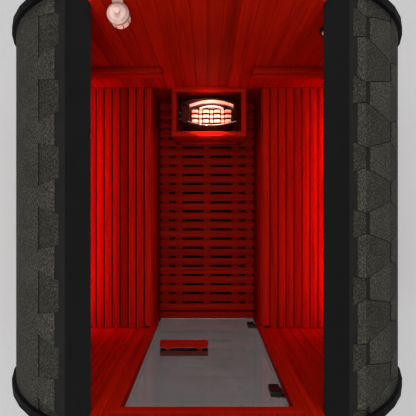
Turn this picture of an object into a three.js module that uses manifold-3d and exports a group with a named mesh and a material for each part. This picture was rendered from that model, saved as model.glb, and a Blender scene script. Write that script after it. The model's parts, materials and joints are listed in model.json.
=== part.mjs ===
// Barrel sauna, shown with its ridge left off so that the cabin is open to the sky.
// Millimetres, +Z up. The barrel lies along Y: the glass door is at -Y and the heater at +Y.
// Heights inside the barrel are counted from the barrel's axis; the origin is on the ground below it.

import * as THREE from 'three';
import { mergeVertices } from 'three/addons/utils/BufferGeometryUtils.js';
import Module from 'manifold-3d';

const wasm = await Module();
wasm.setup();

// ---------------------------------------------------------------- driving dimensions
const gap = 0.3;                    // between pieces that touch
const movingGap = 5;                // between the door and what stays still
const bite = 1;                     // joined pieces and cutting tools run past each other by this much

const barrelLength = 1900;
const barrelInnerRadius = 1050;     // to the flat of a stave
const staveThickness = 42;
const staveCount = 48;              // in a full circle
const ridgeHalfWidth = 489;         // open ridge, at the inner face of the staves
const groundClearance = 60;         // under the barrel
const staveBreaks = [3, 9, 14, 19, 24];   // shell segments, in staves from the top

const wallThickness = 42;
const frontWallInset = 48;          // end of barrel to the front wall's outer face
const backWallInset = 68;           // end of barrel to the back wall's outer face

const coverThickness = 10;          // felt and shingles
const trimThickness = 27;
const trimWidth = 38;
const coverEndStave = 12;           // roof covering stops at the widest point
const capThickness = 3;
const capOverhang = 2;

const bandWidth = 40;
const bandThickness = 2;
const bandFromEnd = 170;
const bandJoinHalfWidth = 20;       // plate that joins its halves at the bottom

const cradleThickness = 90;
const cradleHalfWidth = 625;
const cradleHornHeight = 212;       // above the ground
const cradleFromEnd = 330;

const gableBelowStaves = 6;         // end walls' tops, below the outer face of the missing staves

const doorClearHalfWidth = 366;
const doorClearHeight = 1682;
const doorAboveFloor = 51;          // sill of the clear opening
const frameFace = 37;
const frameSetForward = 15;         // frame stands proud of the wall inside
const frameSetBack = 3;             // and outside
const glassThickness = 8;
const glassLap = 12;                // glass behind the frame's stop
const axisBeyondGlass = 2.5;
const axisInFront = 9;
const knuckleRadius = 6.5;
const pinRadius = 3;
const clampLength = 52;
const clampHeight = 100;
const clampPlate = 10;
const clampFromFrame = 10;          // clamp plates stop short of the clear opening's edge
const clampFromTop = 295;           // upper clamp, below the clear opening's head
const clampFromBottom = 182;        // lower clamp, above the sill
const hingeBracketStart = 10;       // hinge bracket, outwards from the rebate
const hingeBracketEnd = 2;          // and short of the frame's outer edge
const boltRadius = 6;
const boltDrill = 60;               // length of the tool that drills the bolt holes
const knuckleGap = 0.5;             // between the knuckles of one hinge
const handleLength = 303;
const handleCentreX = -145.5;
const handleHeight = 64;
const handleAboveFloor = 783;       // middle of the pull
const handleDepth = 30;
const handleStandOff = 10;          // from the glass to the bar
const handleSpacer = 30;            // width of the blocks that hold the bar off the glass
const handleBoltSpacing = 200;

const floorAboveBottom = 232;       // from the lowest stave to the floor's top
const floorHalfWidth = 380;
const floorSlatCount = 23;
const floorSlatGap = 20;
const floorSlatThickness = 22;
const floorBattenWidth = 57;
const floorBattenHeight = 30;
const floorBattenX = [-338, -230, 0, 230, 338];
const floorEndGap = 3;
const bearerThickness = 45;
const bearerCount = 3;
const bearerEndInset = 270;

const benchAboveFloor = 467;
const benchFrontX = 391;
const benchSlatWidth = 48.5;
const benchSlatGap = 8;
const benchSlatThickness = 28;
const benchEndGap = 3;
const benchShellGap = 25;           // at least, from the last slat to the staves
const benchBattenWidth = 45;
const benchBattenHeight = 40;
const benchBattenCount = 4;
const benchBattenInset = 90;
const ledgerDepth = 36;
const ledgerWidth = 35;
const skirtFaceX = 384;
const skirtThickness = 20;

const restAboveBench = 466;
const restHeight = 146;
const restThickness = 32;
const restInnerX = 277;

const guardCentreX = 13;
const guardHalfWidth = 261;
const guardDepth = 345;
const guardAboveFloor = 484;
const guardMember = 34;
const guardTopThickness = 28;
const guardRailHeight = 58;
const guardRailGap = 8;
const guardRailThickness = 20;
const guardUpperRails = 4;

const heaterWidth = 390;
const heaterCentreX = 13;
const heaterBelowGuard = 26;
const heaterHeight = 360;
const heaterFromWall = 106;         // wall to the case's straight back corners
const heaterSideDepth = 135;
const heaterBulgeBack = 34;
const heaterBulgeFront = 26;
const heaterSkin = 9;
const heaterWellDepth = 210;
const heaterBoxWidth = 46;          // closed compartment beside the stones
const trayThickness = 12;
const trayDepth = 48;               // below the case's top
const traySlotCount = 3;
const traySlotWidth = 12;
const traySlotPitch = 36;
const traySlotFromFront = 25;
const traySlotFromLeft = 30;
const traySlotFromRight = 40;
const hoodWidth = 22;
const hoodHeight = 40;
const hoodFromBack = 1;
const hoodEndGap = 12;
const hoodFlatter = 2;              // its bow stands out less than the case's
const compartmentDepth = 60;        // in the closed box
const bracketWidth = 180;
const bracketHeight = 60;
const bracketBelowTop = 290;
const knobRadius = 15;
const knobLength = 20;
const knobFromFront = [40, 85];
const controlPlate = 4;
const controlPlateFromFront = 12;
const controlPlateDepth = 101;
const controlPlateHeight = 70;
const controlBelowTop = 95;         // middle of the knobs

const lampX = -364;
const lampBelowCut = 37;            // from the cut down to the glass's lowest point
const lampGlassHeight = 68;
const lampGlassRadius = 41;
const lampGlassCurve = [[0.62, 0], [0.88, 8], [1, 22]];   // share of the radius, height
const lampCapRadius = 45.5;
const lampCapHeight = 30;
const lampCapBevel = 12;
const lampCapTopRadius = 33;
const lampStubRadius = 12;
const lampStubHeight = 15;
const lampPlate = 8;
const lampPlateHalfWidth = 22;
const lampOverPlate = 3;            // the cap runs into its wall plate
const thermometerX = 607;
const thermometerBelowCut = 239;
const thermometerRadius = 75;
const thermometerThickness = 16;

const ledAngle = 99;                // degrees from the top of the barrel
const ledWidth = 20;
const ledDepth = 12;
const ledEndInset = 60;

// ---------------------------------------------------------------- worked out from them
const staveAngle = (2 * Math.PI) / staveCount;
const barrelOuterRadius = barrelInnerRadius + staveThickness;
const cornerFactor = 1 / Math.cos(staveAngle / 2);
const axisHeight = barrelOuterRadius * cornerFactor + groundClearance;
const halfLength = barrelLength / 2;
const frontWallOuterY = -halfLength + frontWallInset;
const frontWallInnerY = frontWallOuterY + wallThickness;
const backWallOuterY = halfLength - backWallInset;
const backWallInnerY = backWallOuterY - wallThickness;
const wallRadius = barrelInnerRadius - gap;
const gableRadius = barrelOuterRadius - gableBelowStaves;
const gableHalfWidth = ridgeHalfWidth - capOverhang - gap;
const cutHeight = Math.sqrt(barrelInnerRadius ** 2 - ridgeHalfWidth ** 2);
const floorTop = floorAboveBottom - barrelInnerRadius;
const benchTop = floorTop + benchAboveFloor;
const restTop = benchTop + restAboveBench;
const guardTop = floorTop + guardAboveFloor;
const heaterTop = guardTop - heaterBelowGuard;
const doorClearBottom = floorTop + doorAboveFloor;
const doorClearTop = doorClearBottom + doorClearHeight;
const doorFrameTop = doorClearTop + frameFace;
const handleZ = floorTop + handleAboveFloor;
const frameInnerY = frontWallInnerY + frameSetForward;
const frameOuterY = frontWallOuterY - frameSetBack;
const glassOuterY = frameOuterY;
const glassInnerY = glassOuterY + glassThickness;
const stopBackY = glassInnerY + movingGap;
const glassHalfWidth = doorClearHalfWidth + glassLap;
const glassBottom = doorClearBottom - glassLap;
const glassTop = doorClearTop + glassLap;
const rebateHalfWidth = glassHalfWidth + movingGap;
const hingeX = glassHalfWidth + axisBeyondGlass;
const hingeY = glassOuterY - axisInFront;
const frameOuterHalf = doorClearHalfWidth + frameFace;
const guardFrontY = backWallInnerY - guardDepth;
const heaterBackY = backWallInnerY - heaterFromWall;
const heaterFrontY = heaterBackY - heaterSideDepth;
const heaterLeftX = heaterCentreX - heaterWidth / 2;
const heaterRightX = heaterCentreX + heaterWidth / 2;
const wellFloorZ = heaterTop - heaterWellDepth;

// ---------------------------------------------------------------- small helpers
const chord = (radius, offset) => Math.sqrt(radius * radius - offset * offset);

const block = (x0, x1, y0, y1, z0, z1) => new THREE.BoxGeometry(x1 - x0, y1 - y0, z1 - z0)
  .translate((x0 + x1) / 2, (y0 + y1) / 2, (z0 + z1) / 2);

const outline = (points) => new THREE.Shape(points.map(([u, v]) => new THREE.Vector2(u, v)));

// A flat outline in X and Z, carried along Y.
function alongY(points, y0, y1) {
  const geometry = new THREE.ExtrudeGeometry(outline(points), { depth: y1 - y0, bevelEnabled: false });
  return geometry.rotateX(Math.PI / 2).translate(0, y1, 0);
}

// A flat outline in X and Y, carried up Z.
function alongZ(points, z0, z1) {
  const geometry = new THREE.ExtrudeGeometry(outline(points), { depth: z1 - z0, bevelEnabled: false });
  return geometry.translate(0, 0, z0);
}

// A flat outline in Y and Z, carried along X.
function alongX(points, x0, x1) {
  const geometry = new THREE.ExtrudeGeometry(outline(points), { depth: x1 - x0, bevelEnabled: false });
  return geometry.rotateX(Math.PI / 2).rotateZ(Math.PI / 2).translate(x0, 0, 0);
}

function rod(radius, length, axis, x, y, z, sides = 20) {
  const geometry = new THREE.CylinderGeometry(radius, radius, length, sides);
  if (axis === 'x') geometry.rotateZ(Math.PI / 2);
  if (axis === 'z') geometry.rotateX(Math.PI / 2);
  return geometry.translate(x, y, z);
}

function toSolid(geometry) {
  const bare = geometry.clone();
  bare.deleteAttribute('normal');
  bare.deleteAttribute('uv');
  const merged = mergeVertices(bare, 1e-4);
  return new wasm.Manifold(new wasm.Mesh({
    numProp: 3,
    vertProperties: new Float32Array(merged.attributes.position.array),
    triVerts: new Uint32Array(merged.index.array),
  }));
}

function toGeometry(solid) {
  const mesh = solid.getMesh();
  const geometry = new THREE.BufferGeometry();
  geometry.setAttribute('position', new THREE.BufferAttribute(mesh.vertProperties, 3));
  geometry.setIndex(new THREE.BufferAttribute(mesh.triVerts, 1));
  geometry.computeVertexNormals();
  return geometry;
}

const join = (...pieces) => toGeometry(pieces.map(toSolid).reduce((a, b) => a.add(b)));
const cut = (piece, ...tools) => toGeometry(
  tools.map(toSolid).reduce((a, b) => a.subtract(b), toSolid(piece)),
);
const common = (piece, tool) => toGeometry(toSolid(piece).intersect(toSolid(tool)));

// Corners of the staved ring at an apothem, between two whole staves, at the joints between staves.
// Angles run from the top towards +X; side is 1 for +X and -1 for -X.
function staveCorners(apothem, firstStave, lastStave, side) {
  const ease = gap / 2 / apothem;
  const corners = [];
  for (let stave = firstStave; stave <= lastStave; stave += 1) {
    let angle = stave * staveAngle;
    if (stave === firstStave) angle += ease;
    if (stave === lastStave) angle -= ease;
    const centre = (stave === lastStave ? stave - 0.5 : stave + 0.5) * staveAngle;
    const radius = apothem / Math.cos(angle - centre);
    corners.push([side * radius * Math.sin(angle), radius * Math.cos(angle)]);
  }
  return corners;
}

function ring(innerApothem, outerApothem, firstStave, lastStave, side, y0, y1) {
  const inner = staveCorners(innerApothem, firstStave, lastStave, side);
  const outer = staveCorners(outerApothem, firstStave, lastStave, side).reverse();
  return alongY([...inner, ...outer], y0, y1);
}

const everything = 3 * barrelOuterRadius;
const belowCut = () => block(-everything, everything, -everything, everything, -everything, cutHeight);

// The room inside the staves: what reaches the shell is trimmed to its flats.
const cavity = (y0, y1) => alongY(
  Array.from({ length: staveCount }, (_, i) => {
    const radius = (barrelInnerRadius - gap) * cornerFactor;
    return [radius * Math.sin(i * staveAngle), radius * Math.cos(i * staveAngle)];
  }), y0, y1,
);

// Points on a circle about the barrel's axis, from one x to another, on its lower side.
function lowerArc(radius, x0, x1, steps) {
  const a0 = Math.asin(x0 / radius);
  const a1 = Math.asin(x1 / radius);
  return Array.from({ length: steps + 1 }, (_, i) => {
    const a = a0 + ((a1 - a0) * i) / steps;
    return [radius * Math.sin(a), -radius * Math.cos(a)];
  });
}

// ---------------------------------------------------------------- finishes
const finish = (color, roughness, metalness = 0) => () => new THREE.MeshStandardMaterial({
  color, roughness, metalness,
});
const stainedWood = finish(0x9a1a12, 0.7);
const endWallWood = finish(0x931610, 0.7);
const floorWood = finish(0x7c120d, 0.75);
const benchWood = finish(0xa51c14, 0.65);
const frameWood = finish(0xa82016, 0.6);
const shingle = finish(0x3d3f38, 0.95);
const blackTrim = finish(0x1a1918, 0.6);
const bandSteel = finish(0x8e9092, 0.35, 1);
const doorGlass = finish(0x6e7072, 0.05);
const blackMetal = finish(0x141414, 0.4, 0.6);
const heaterSteel = finish(0xc9c4c0, 0.3, 1);
const heaterDark = finish(0x2a2625, 0.6, 0.4);
const lampWhite = finish(0xe8e2da, 0.4);
const opalGlass = finish(0xf6efe6, 0.2);
const gaugeFace = finish(0x1c1b1b, 0.5);
const ledProfile = finish(0xff5040, 0.4);
const cradleWood = finish(0x6a3a26, 0.8);

const sauna = new THREE.Group();
const barrel = new THREE.Group();
barrel.position.z = axisHeight;
sauna.add(barrel);

function place(name, geometry, material, parent = barrel) {
  const mesh = new THREE.Mesh(geometry, material());
  mesh.name = name;
  parent.add(mesh);
  return mesh;
}

const sides = [['left', -1], ['right', 1]];

// A block given by its distance from the middle plane, on either side of it.
const sideBlock = (side, near, far, y0, y1, z0, z1) => block(
  Math.min(side * near, side * far), Math.max(side * near, side * far), y0, y1, z0, z1,
);

// ---------------------------------------------------------------- shell of staves
const segmentNames = ['upper', 'side', 'lower', 'bottom'];
for (const [sideName, side] of sides) {
  segmentNames.forEach((segmentName, i) => {
    let geometry = ring(
      barrelInnerRadius, barrelOuterRadius, staveBreaks[i], staveBreaks[i + 1], side,
      -halfLength, halfLength,
    );
    if (i === 0) geometry = common(geometry, belowCut());
    place(`shell_${sideName}_${segmentName}`, geometry, stainedWood);
  });
}

// ---------------------------------------------------------------- end walls
// A disc inside the staves, and above the cut the gable that closes the end of the open ridge.
const disc = (radius, y0, y1) => rod(radius, y1 - y0, 'y', 0, (y0 + y1) / 2, 0, staveCount * 2);
const wallDisc = (y0, y1) => join(
  common(disc(wallRadius, y0, y1), belowCut()),
  common(disc(gableRadius, y0, y1), block(
    -gableHalfWidth, gableHalfWidth, y0, y1, doorClearBottom, everything,
  )),
);
place('back_wall', wallDisc(backWallInnerY, backWallOuterY), endWallWood);

const frontDisc = () => wallDisc(frontWallOuterY, frontWallInnerY);
const wallCut = frameOuterHalf + gap;
const frameBottom = doorClearBottom - frameFace;
for (const [sideName, side] of sides) {
  const window = sideBlock(side, wallCut, everything, -everything, everything, -everything, everything);
  place(`front_wall_${sideName}`, common(frontDisc(), window), endWallWood);
}
const betweenSides = (z0, z1) => block(-wallCut + gap, wallCut - gap, -everything, everything, z0, z1);
place('front_wall_sill', common(frontDisc(), betweenSides(-everything, frameBottom - gap)), endWallWood);
place('front_wall_head', common(frontDisc(), betweenSides(doorFrameTop + gap, everything)), endWallWood);

// ---------------------------------------------------------------- door frame
for (const [sideName, side] of sides) {
  place(`door_frame_${sideName}`, cut(
    sideBlock(
      side, doorClearHalfWidth, frameOuterHalf, frameOuterY, frameInnerY, frameBottom, doorClearTop - gap,
    ),
    sideBlock(side, 0, rebateHalfWidth, frameOuterY - bite, stopBackY, frameBottom - bite, doorClearTop),
  ), frameWood);
}
const railHalf = doorClearHalfWidth - gap;
place('door_frame_head', cut(
  block(-frameOuterHalf, frameOuterHalf, frameOuterY, frameInnerY, doorClearTop, doorFrameTop),
  block(-rebateHalfWidth, rebateHalfWidth, frameOuterY - bite, stopBackY, doorClearTop - bite,
    glassTop + movingGap),
), frameWood);
place('door_frame_sill', join(
  block(-railHalf, railHalf, stopBackY, frameInnerY, frameBottom, doorClearBottom),
  block(-railHalf, railHalf, frameOuterY, frameInnerY, frameBottom, glassBottom - movingGap),
), frameWood);

// ---------------------------------------------------------------- door and its hinges
const door = new THREE.Group();
door.position.set(hingeX, hingeY, 0);
barrel.add(door);
const glassOuter = glassOuterY - hingeY;
const glassInner = glassInnerY - hingeY;
const glassFarX = -glassHalfWidth - hingeX;
const handleX = handleCentreX - hingeX;
const clampX = -axisBeyondGlass - glassLap - clampFromFrame - clampLength / 2;
const clampHeights = [doorClearTop - clampFromTop, doorClearBottom + clampFromBottom];
const handleBolts = [-1, 1].map((s) => handleX + (s * handleBoltSpacing) / 2);

const boltHoles = [
  ...clampHeights.map((z) => rod(boltRadius + gap, boltDrill, 'y', clampX, glassInner, z)),
  ...handleBolts.map((x) => rod(boltRadius + gap, boltDrill, 'y', x, glassInner, handleZ)),
];
place('door_glass', cut(
  block(glassFarX, -axisBeyondGlass, glassOuter, glassInner, glassBottom, glassTop),
  ...boltHoles,
), doorGlass, door);

const knuckleShare = clampHeight / 3;
['upper', 'lower'].forEach((label, i) => {
  const z = clampHeights[i];
  const low = z - clampHeight / 2;
  const high = z + clampHeight / 2;
  const middleLow = low + knuckleShare;
  const middleHigh = high - knuckleShare;
  const plateOuter = glassOuter - gap - clampPlate;
  const plateInner = glassInner + gap + clampPlate;
  const body = join(
    block(
      clampX - clampLength / 2, clampX + clampLength / 2, plateOuter, glassOuter - gap, low, high,
    ),
    block(
      clampX - clampLength / 2, clampX + clampLength / 2, glassInner + gap, plateInner, low, high,
    ),
    rod(boltRadius, glassThickness + clampPlate, 'y', clampX, (glassOuter + glassInner) / 2, z),
    block(clampX, 0, -pinRadius - bite, pinRadius + bite, low, high),
    rod(knuckleRadius, clampHeight, 'z', 0, 0, z),
  );
  place(`door_clamp_${label}`, cut(
    body,
    rod(pinRadius + gap, clampHeight + 2 * bite, 'z', 0, 0, z),
    block(-knuckleRadius * 2, knuckleRadius * 2, -knuckleRadius * 2, glassOuter - gap,
      middleLow - knuckleGap, middleHigh + knuckleGap),
  ), blackMetal, door);

  const plateX = rebateHalfWidth - hingeX + hingeBracketStart;
  const hinge = join(
    rod(pinRadius, clampHeight, 'z', 0, 0, z),
    rod(knuckleRadius, middleHigh - middleLow, 'z', 0, 0, z),
    block(0, plateX + bite, -pinRadius - bite, pinRadius + bite, middleLow, middleHigh),
    block(plateX, frameOuterHalf - hingeX - hingeBracketEnd, -pinRadius - bite, glassOuter - gap, low, high),
  );
  place(`door_hinge_${label}`, hinge, blackMetal).position.set(hingeX, hingeY, 0);
});

// A wooden bar that two spacer blocks hold off one face of the glass.
function pull(backY, outward) {
  const away = (near, far) => [backY + outward * near, backY + outward * far].sort((a, b) => a - b);
  const [z0, z1] = [handleZ - handleHeight / 2, handleZ + handleHeight / 2];
  return join(
    block(handleX - handleLength / 2, handleX + handleLength / 2,
      ...away(handleStandOff, handleStandOff + handleDepth), z0, z1),
    ...handleBolts.map((x) => block(
      x - handleSpacer / 2, x + handleSpacer / 2, ...away(0, handleStandOff + bite), z0, z1,
    )),
  );
}
place('door_handle_inside', join(
  pull(glassInner + gap, 1),
  ...handleBolts.map((x) => rod(boltRadius, glassThickness + 4, 'y', x, glassInner - 2 + gap, handleZ)),
), frameWood, door);
place('door_handle_outside', cut(
  pull(glassOuter - gap, -1),
  ...handleBolts.map((x) => rod(boltRadius + gap, boltDrill, 'y', x, glassOuter + 20, handleZ)),
), frameWood, door);

// ---------------------------------------------------------------- floor
const floorY0 = frameInnerY + floorEndGap;
const floorY1 = backWallInnerY - floorEndGap;
const slatPitch = (floorY1 - floorY0 + floorSlatGap) / floorSlatCount;
const battenTop = floorTop - floorSlatThickness + bite;
const battenBottom = floorTop - floorSlatThickness - floorBattenHeight;
const floorSlats = Array.from({ length: floorSlatCount }, (_, i) => {
  const y = floorY0 + i * slatPitch;
  return block(-floorHalfWidth, floorHalfWidth, y, y + slatPitch - floorSlatGap,
    floorTop - floorSlatThickness, floorTop);
});
const floorBattens = floorBattenX.map((x) => block(
  x - floorBattenWidth / 2, x + floorBattenWidth / 2, floorY0, floorY1, battenBottom, battenTop,
));
place('duckboard', join(...floorSlats, ...floorBattens), floorWood);

const spread = (first, last, count, i) => first + ((last - first) * i) / (count - 1);
for (let i = 0; i < bearerCount; i += 1) {
  const y = spread(floorY0 + bearerEndInset, floorY1 - bearerEndInset, bearerCount, i);
  const [y0, y1] = [y - bearerThickness / 2, y + bearerThickness / 2];
  place(`floor_bearer_${i + 1}`, common(
    block(-floorHalfWidth, floorHalfWidth, y0, y1, -everything, battenBottom - gap), cavity(y0, y1),
  ), floorWood);
}

// ---------------------------------------------------------------- benches
const benchY0 = frontWallInnerY + benchEndGap;
const benchY1 = backWallInnerY - benchEndGap;
const skirtY0 = frameInnerY + benchEndGap;
const benchBottom = benchTop - benchSlatThickness;
const benchPitch = benchSlatWidth + benchSlatGap;
const benchRoom = chord(barrelInnerRadius, benchBottom) - benchShellGap - benchFrontX + benchSlatGap;
const benchSlatCount = Math.floor(benchRoom / benchPitch);
const benchBattenY = Array.from({ length: benchBattenCount }, (_, i) => spread(
  benchY0 + benchBattenInset, benchY1 - benchBattenInset, benchBattenCount, i,
));
const ledgerBottom = benchBottom - benchBattenHeight - ledgerDepth;
const ledgerInnerX = chord(barrelInnerRadius, ledgerBottom) - ledgerWidth;
const frameRoom = () => block(-frameOuterHalf - gap, frameOuterHalf + gap, -everything, frameInnerY + gap,
  -everything, everything);
for (const [sideName, side] of sides) {
  const slats = Array.from({ length: benchSlatCount }, (_, i) => {
    const x = benchFrontX + i * benchPitch;
    return sideBlock(side, x, x + benchSlatWidth, benchY0, benchY1, benchBottom, benchTop);
  });
  const battens = benchBattenY.map((y) => sideBlock(
    side, skirtFaceX + skirtThickness + 2 * bite, ledgerInnerX + bite, y - benchBattenWidth / 2,
    y + benchBattenWidth / 2,
    benchBottom - benchBattenHeight, benchBottom + bite,
  ));
  const ledger = sideBlock(
    side, ledgerInnerX, everything, benchY0, benchY1, ledgerBottom, benchBottom + bite,
  );
  place(`bench_top_${sideName}`, cut(join(
    ...slats, ...battens, common(ledger, cavity(benchY0, benchY1)),
  ), frameRoom()), benchWood);

  place(`bench_skirt_${sideName}`, common(
    sideBlock(
      side, skirtFaceX, skirtFaceX + skirtThickness, skirtY0, benchY1, -everything, benchBottom - gap,
    ),
    cavity(skirtY0, benchY1),
  ), benchWood);
}

// ---------------------------------------------------------------- rests on the back wall
for (const [sideName, side] of sides) {
  const [y0, y1] = [backWallInnerY - gap - restThickness, backWallInnerY - gap];
  place(`back_rest_${sideName}`, common(
    sideBlock(side, restInnerX, everything, y0, y1, restTop - restHeight, restTop), cavity(y0, y1),
  ), benchWood);
}

// ---------------------------------------------------------------- heater guard
const guardBackY = backWallInnerY - gap;
const guardRailsTop = guardTop - guardTopThickness - gap;
const guardFoot = floorTop + gap;
const railPitch = guardRailHeight + guardRailGap;
const railBands = [
  ...Array.from({ length: guardUpperRails }, (_, i) => guardRailsTop - i * railPitch),
  guardFoot + guardRailHeight,
];
place('guard_top_frame', cut(
  block(-guardHalfWidth, guardHalfWidth, guardFrontY, guardBackY, guardTop - guardTopThickness, guardTop),
  block(-guardHalfWidth + guardMember, guardHalfWidth - guardMember,
    guardFrontY + guardMember, guardBackY - guardMember,
    guardTop - guardTopThickness - bite, guardTop + bite),
), frameWood).position.x = guardCentreX;
const frontPosts = [-1, 1].map((s) => sideBlock(
  s, guardHalfWidth - guardMember, guardHalfWidth, guardFrontY, guardFrontY + guardMember,
  guardFoot, guardRailsTop,
));
const frontRails = railBands.map((z) => block(
  -guardHalfWidth + guardMember - bite, guardHalfWidth - guardMember + bite,
  guardFrontY + 2, guardFrontY + 2 + guardRailThickness, z - guardRailHeight, z,
));
place('guard_front', join(...frontPosts, ...frontRails), frameWood).position.x = guardCentreX;
for (const [sideName, side] of sides) {
  const railStart = guardFrontY + guardMember + gap;
  const post = sideBlock(
    side, guardHalfWidth - guardMember, guardHalfWidth, guardBackY - guardMember, guardBackY,
    guardFoot, guardRailsTop,
  );
  const foot = sideBlock(
    side, guardHalfWidth - guardMember, guardHalfWidth, railStart, railStart + guardMember,
    guardFoot, guardRailsTop,
  );
  const rails = railBands.map((z) => sideBlock(
    side, guardHalfWidth - 2 - guardRailThickness, guardHalfWidth - 2, railStart + bite,
    guardBackY - guardMember + bite, z - guardRailHeight, z,
  ));
  place(`guard_side_${sideName}`, join(post, foot, ...rails), frameWood).position.x = guardCentreX;
}

// ---------------------------------------------------------------- heater
// A bowed edge between two x positions: a circle's arc that stands out by the bulge.
function bow(x0, x1, y, bulge, steps) {
  const half = Math.abs(x1 - x0) / 2;
  const radius = (half * half + bulge * bulge) / (2 * Math.abs(bulge));
  return Array.from({ length: steps + 1 }, (_, i) => {
    const x = x0 + ((x1 - x0) * i) / steps;
    const rise = chord(radius, x - (x0 + x1) / 2) - (radius - Math.abs(bulge));
    return [x, y + Math.sign(bulge) * rise];
  });
}
const bowSteps = 14;
const caseOutline = (inset, x0 = heaterLeftX + inset) => [
  ...bow(x0, heaterRightX - inset, heaterFrontY + inset, -heaterBulgeFront, bowSteps),
  ...bow(heaterRightX - inset, x0, heaterBackY - inset, heaterBulgeBack, bowSteps),
];
const wellLeftX = heaterLeftX + heaterBoxWidth;
const wellOutline = caseOutline(heaterSkin, wellLeftX);
const bracketTop = heaterTop - bracketBelowTop;
place('heater_case', join(
  cut(
    alongZ(caseOutline(0), heaterTop - heaterHeight, heaterTop),
    alongZ(wellOutline, wellFloorZ, heaterTop + bite),
    block(heaterLeftX + heaterSkin, wellLeftX - heaterSkin, heaterFrontY + heaterSkin,
      heaterBackY - heaterSkin, heaterTop - compartmentDepth, heaterTop + bite),
  ),
  block(heaterCentreX - bracketWidth / 2, heaterCentreX + bracketWidth / 2, heaterBackY,
    backWallInnerY - gap, bracketTop - bracketHeight, bracketTop),
), heaterSteel);

const trayZ = heaterTop - trayDepth;
const trayInset = heaterSkin + gap;
place('heater_stone_tray', cut(
  alongZ(caseOutline(trayInset, wellLeftX + gap), trayZ - trayThickness, trayZ),
  ...Array.from({ length: traySlotCount }, (_, i) => {
    const y = heaterFrontY + traySlotFromFront + i * traySlotPitch;
    return block(wellLeftX + traySlotFromLeft, heaterRightX - traySlotFromRight, y, y + traySlotWidth,
      trayZ - trayThickness - bite, trayZ + bite);
  }),
), heaterDark);

const hoodHalf = (heaterRightX - heaterSkin - wellLeftX) / 2 - hoodEndGap;
const hoodX = (heaterRightX - heaterSkin + wellLeftX) / 2;
const hoodBackY = heaterBackY - heaterSkin - hoodFromBack;
const hoodBow = heaterBulgeBack - hoodFlatter;
place('heater_hood', alongZ([
  ...bow(hoodX - hoodHalf, hoodX + hoodHalf, hoodBackY - hoodWidth, hoodBow, bowSteps),
  ...bow(hoodX + hoodHalf, hoodX - hoodHalf, hoodBackY, hoodBow, bowSteps),
], trayZ + gap, trayZ + gap + hoodHeight), heaterSteel);

const controlX = heaterLeftX - gap;
const controlZ = heaterTop - controlBelowTop;
const controlPlateY = heaterFrontY + controlPlateFromFront;
place('heater_controls', join(
  block(controlX - controlPlate, controlX, controlPlateY, controlPlateY + controlPlateDepth,
    controlZ - controlPlateHeight / 2, controlZ + controlPlateHeight / 2),
  ...knobFromFront.map((y) => rod(
    knobRadius, knobLength + 1, 'x', controlX - controlPlate - knobLength / 2 + 0.5,
    heaterFrontY + y, controlZ,
  )),
), blackMetal);

// ---------------------------------------------------------------- lamp and gauge on the back wall
const lampY = backWallInnerY - gap - lampPlate - lampCapRadius + lampOverPlate;
const lampBottom = cutHeight - lampBelowCut;
const lampCapBottom = lampBottom + lampGlassHeight;
const lampGlass = new THREE.LatheGeometry([
  [0, 0], ...lampGlassCurve.map(([share, h]) => [share * lampGlassRadius, h]),
  [lampGlassRadius, lampGlassHeight - gap], [0, lampGlassHeight - gap],
].map(([r, h]) => new THREE.Vector2(r, h)), 32);
place('wall_lamp_glass', toGeometry(toSolid(
  lampGlass.rotateX(Math.PI / 2).translate(lampX, lampY, lampBottom),
)), opalGlass);
const lampCap = new THREE.LatheGeometry([
  [0, 0], [lampCapRadius, 0], [lampCapRadius, lampCapHeight - lampCapBevel],
  [lampCapTopRadius, lampCapHeight], [0, lampCapHeight],
].map(([r, h]) => new THREE.Vector2(r, h)), 32);
place('wall_lamp_body', join(
  lampCap.rotateX(Math.PI / 2).translate(lampX, lampY, lampCapBottom),
  rod(lampStubRadius, lampStubHeight + 4, 'z', lampX, lampY,
    lampCapBottom + lampCapHeight + lampStubHeight / 2 - 2),
  block(lampX - lampPlateHalfWidth, lampX + lampPlateHalfWidth,
    backWallInnerY - gap - lampPlate, backWallInnerY - gap, lampBottom, lampCapBottom + lampCapHeight),
), lampWhite);
place('thermometer', rod(
  thermometerRadius, thermometerThickness, 'y', thermometerX,
  backWallInnerY - gap - thermometerThickness / 2, cutHeight - thermometerBelowCut, 40,
), gaugeFace);

// ---------------------------------------------------------------- light strips above the benches
const ledLength = benchY1 - benchY0 - 2 * ledEndInset;
for (const [sideName, side] of sides) {
  const strip = place(
    `light_strip_${sideName}`, new THREE.BoxGeometry(ledDepth, ledLength, ledWidth), ledProfile,
  );
  const angle = THREE.MathUtils.degToRad(ledAngle);
  const radius = chord(barrelInnerRadius - gap, ledWidth / 2) - ledDepth / 2;
  strip.position.set(
    side * radius * Math.sin(angle), (benchY0 + benchY1) / 2, radius * Math.cos(angle),
  );
  strip.rotation.y = side * (angle - Math.PI / 2);
}

// ---------------------------------------------------------------- roof covering, trims and caps
const coverInner = barrelOuterRadius + gap;
const trimInnerY = halfLength - trimWidth;
for (const [sideName, side] of sides) {
  place(`roof_cover_${sideName}`, common(ring(
    coverInner, coverInner + coverThickness, staveBreaks[0], coverEndStave, side,
    -trimInnerY + gap, trimInnerY - gap,
  ), belowCut()), shingle);
  for (const [endName, end] of [['front', -1], ['back', 1]]) {
    const ys = [end * trimInnerY, end * halfLength].sort((a, b) => a - b);
    place(`end_trim_${endName}_${sideName}`, common(ring(
      coverInner, coverInner + trimThickness, staveBreaks[0], coverEndStave, side, ...ys,
    ), belowCut()), blackTrim);
  }
  const capInner = chord(barrelInnerRadius, cutHeight) - capOverhang;
  const capOuter = chord(coverInner + coverThickness, cutHeight) + capOverhang;
  place(`edge_cap_${sideName}`, sideBlock(
    side, capInner, capOuter, -halfLength, halfLength, cutHeight + gap, cutHeight + gap + capThickness,
  ), blackTrim);
}

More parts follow.
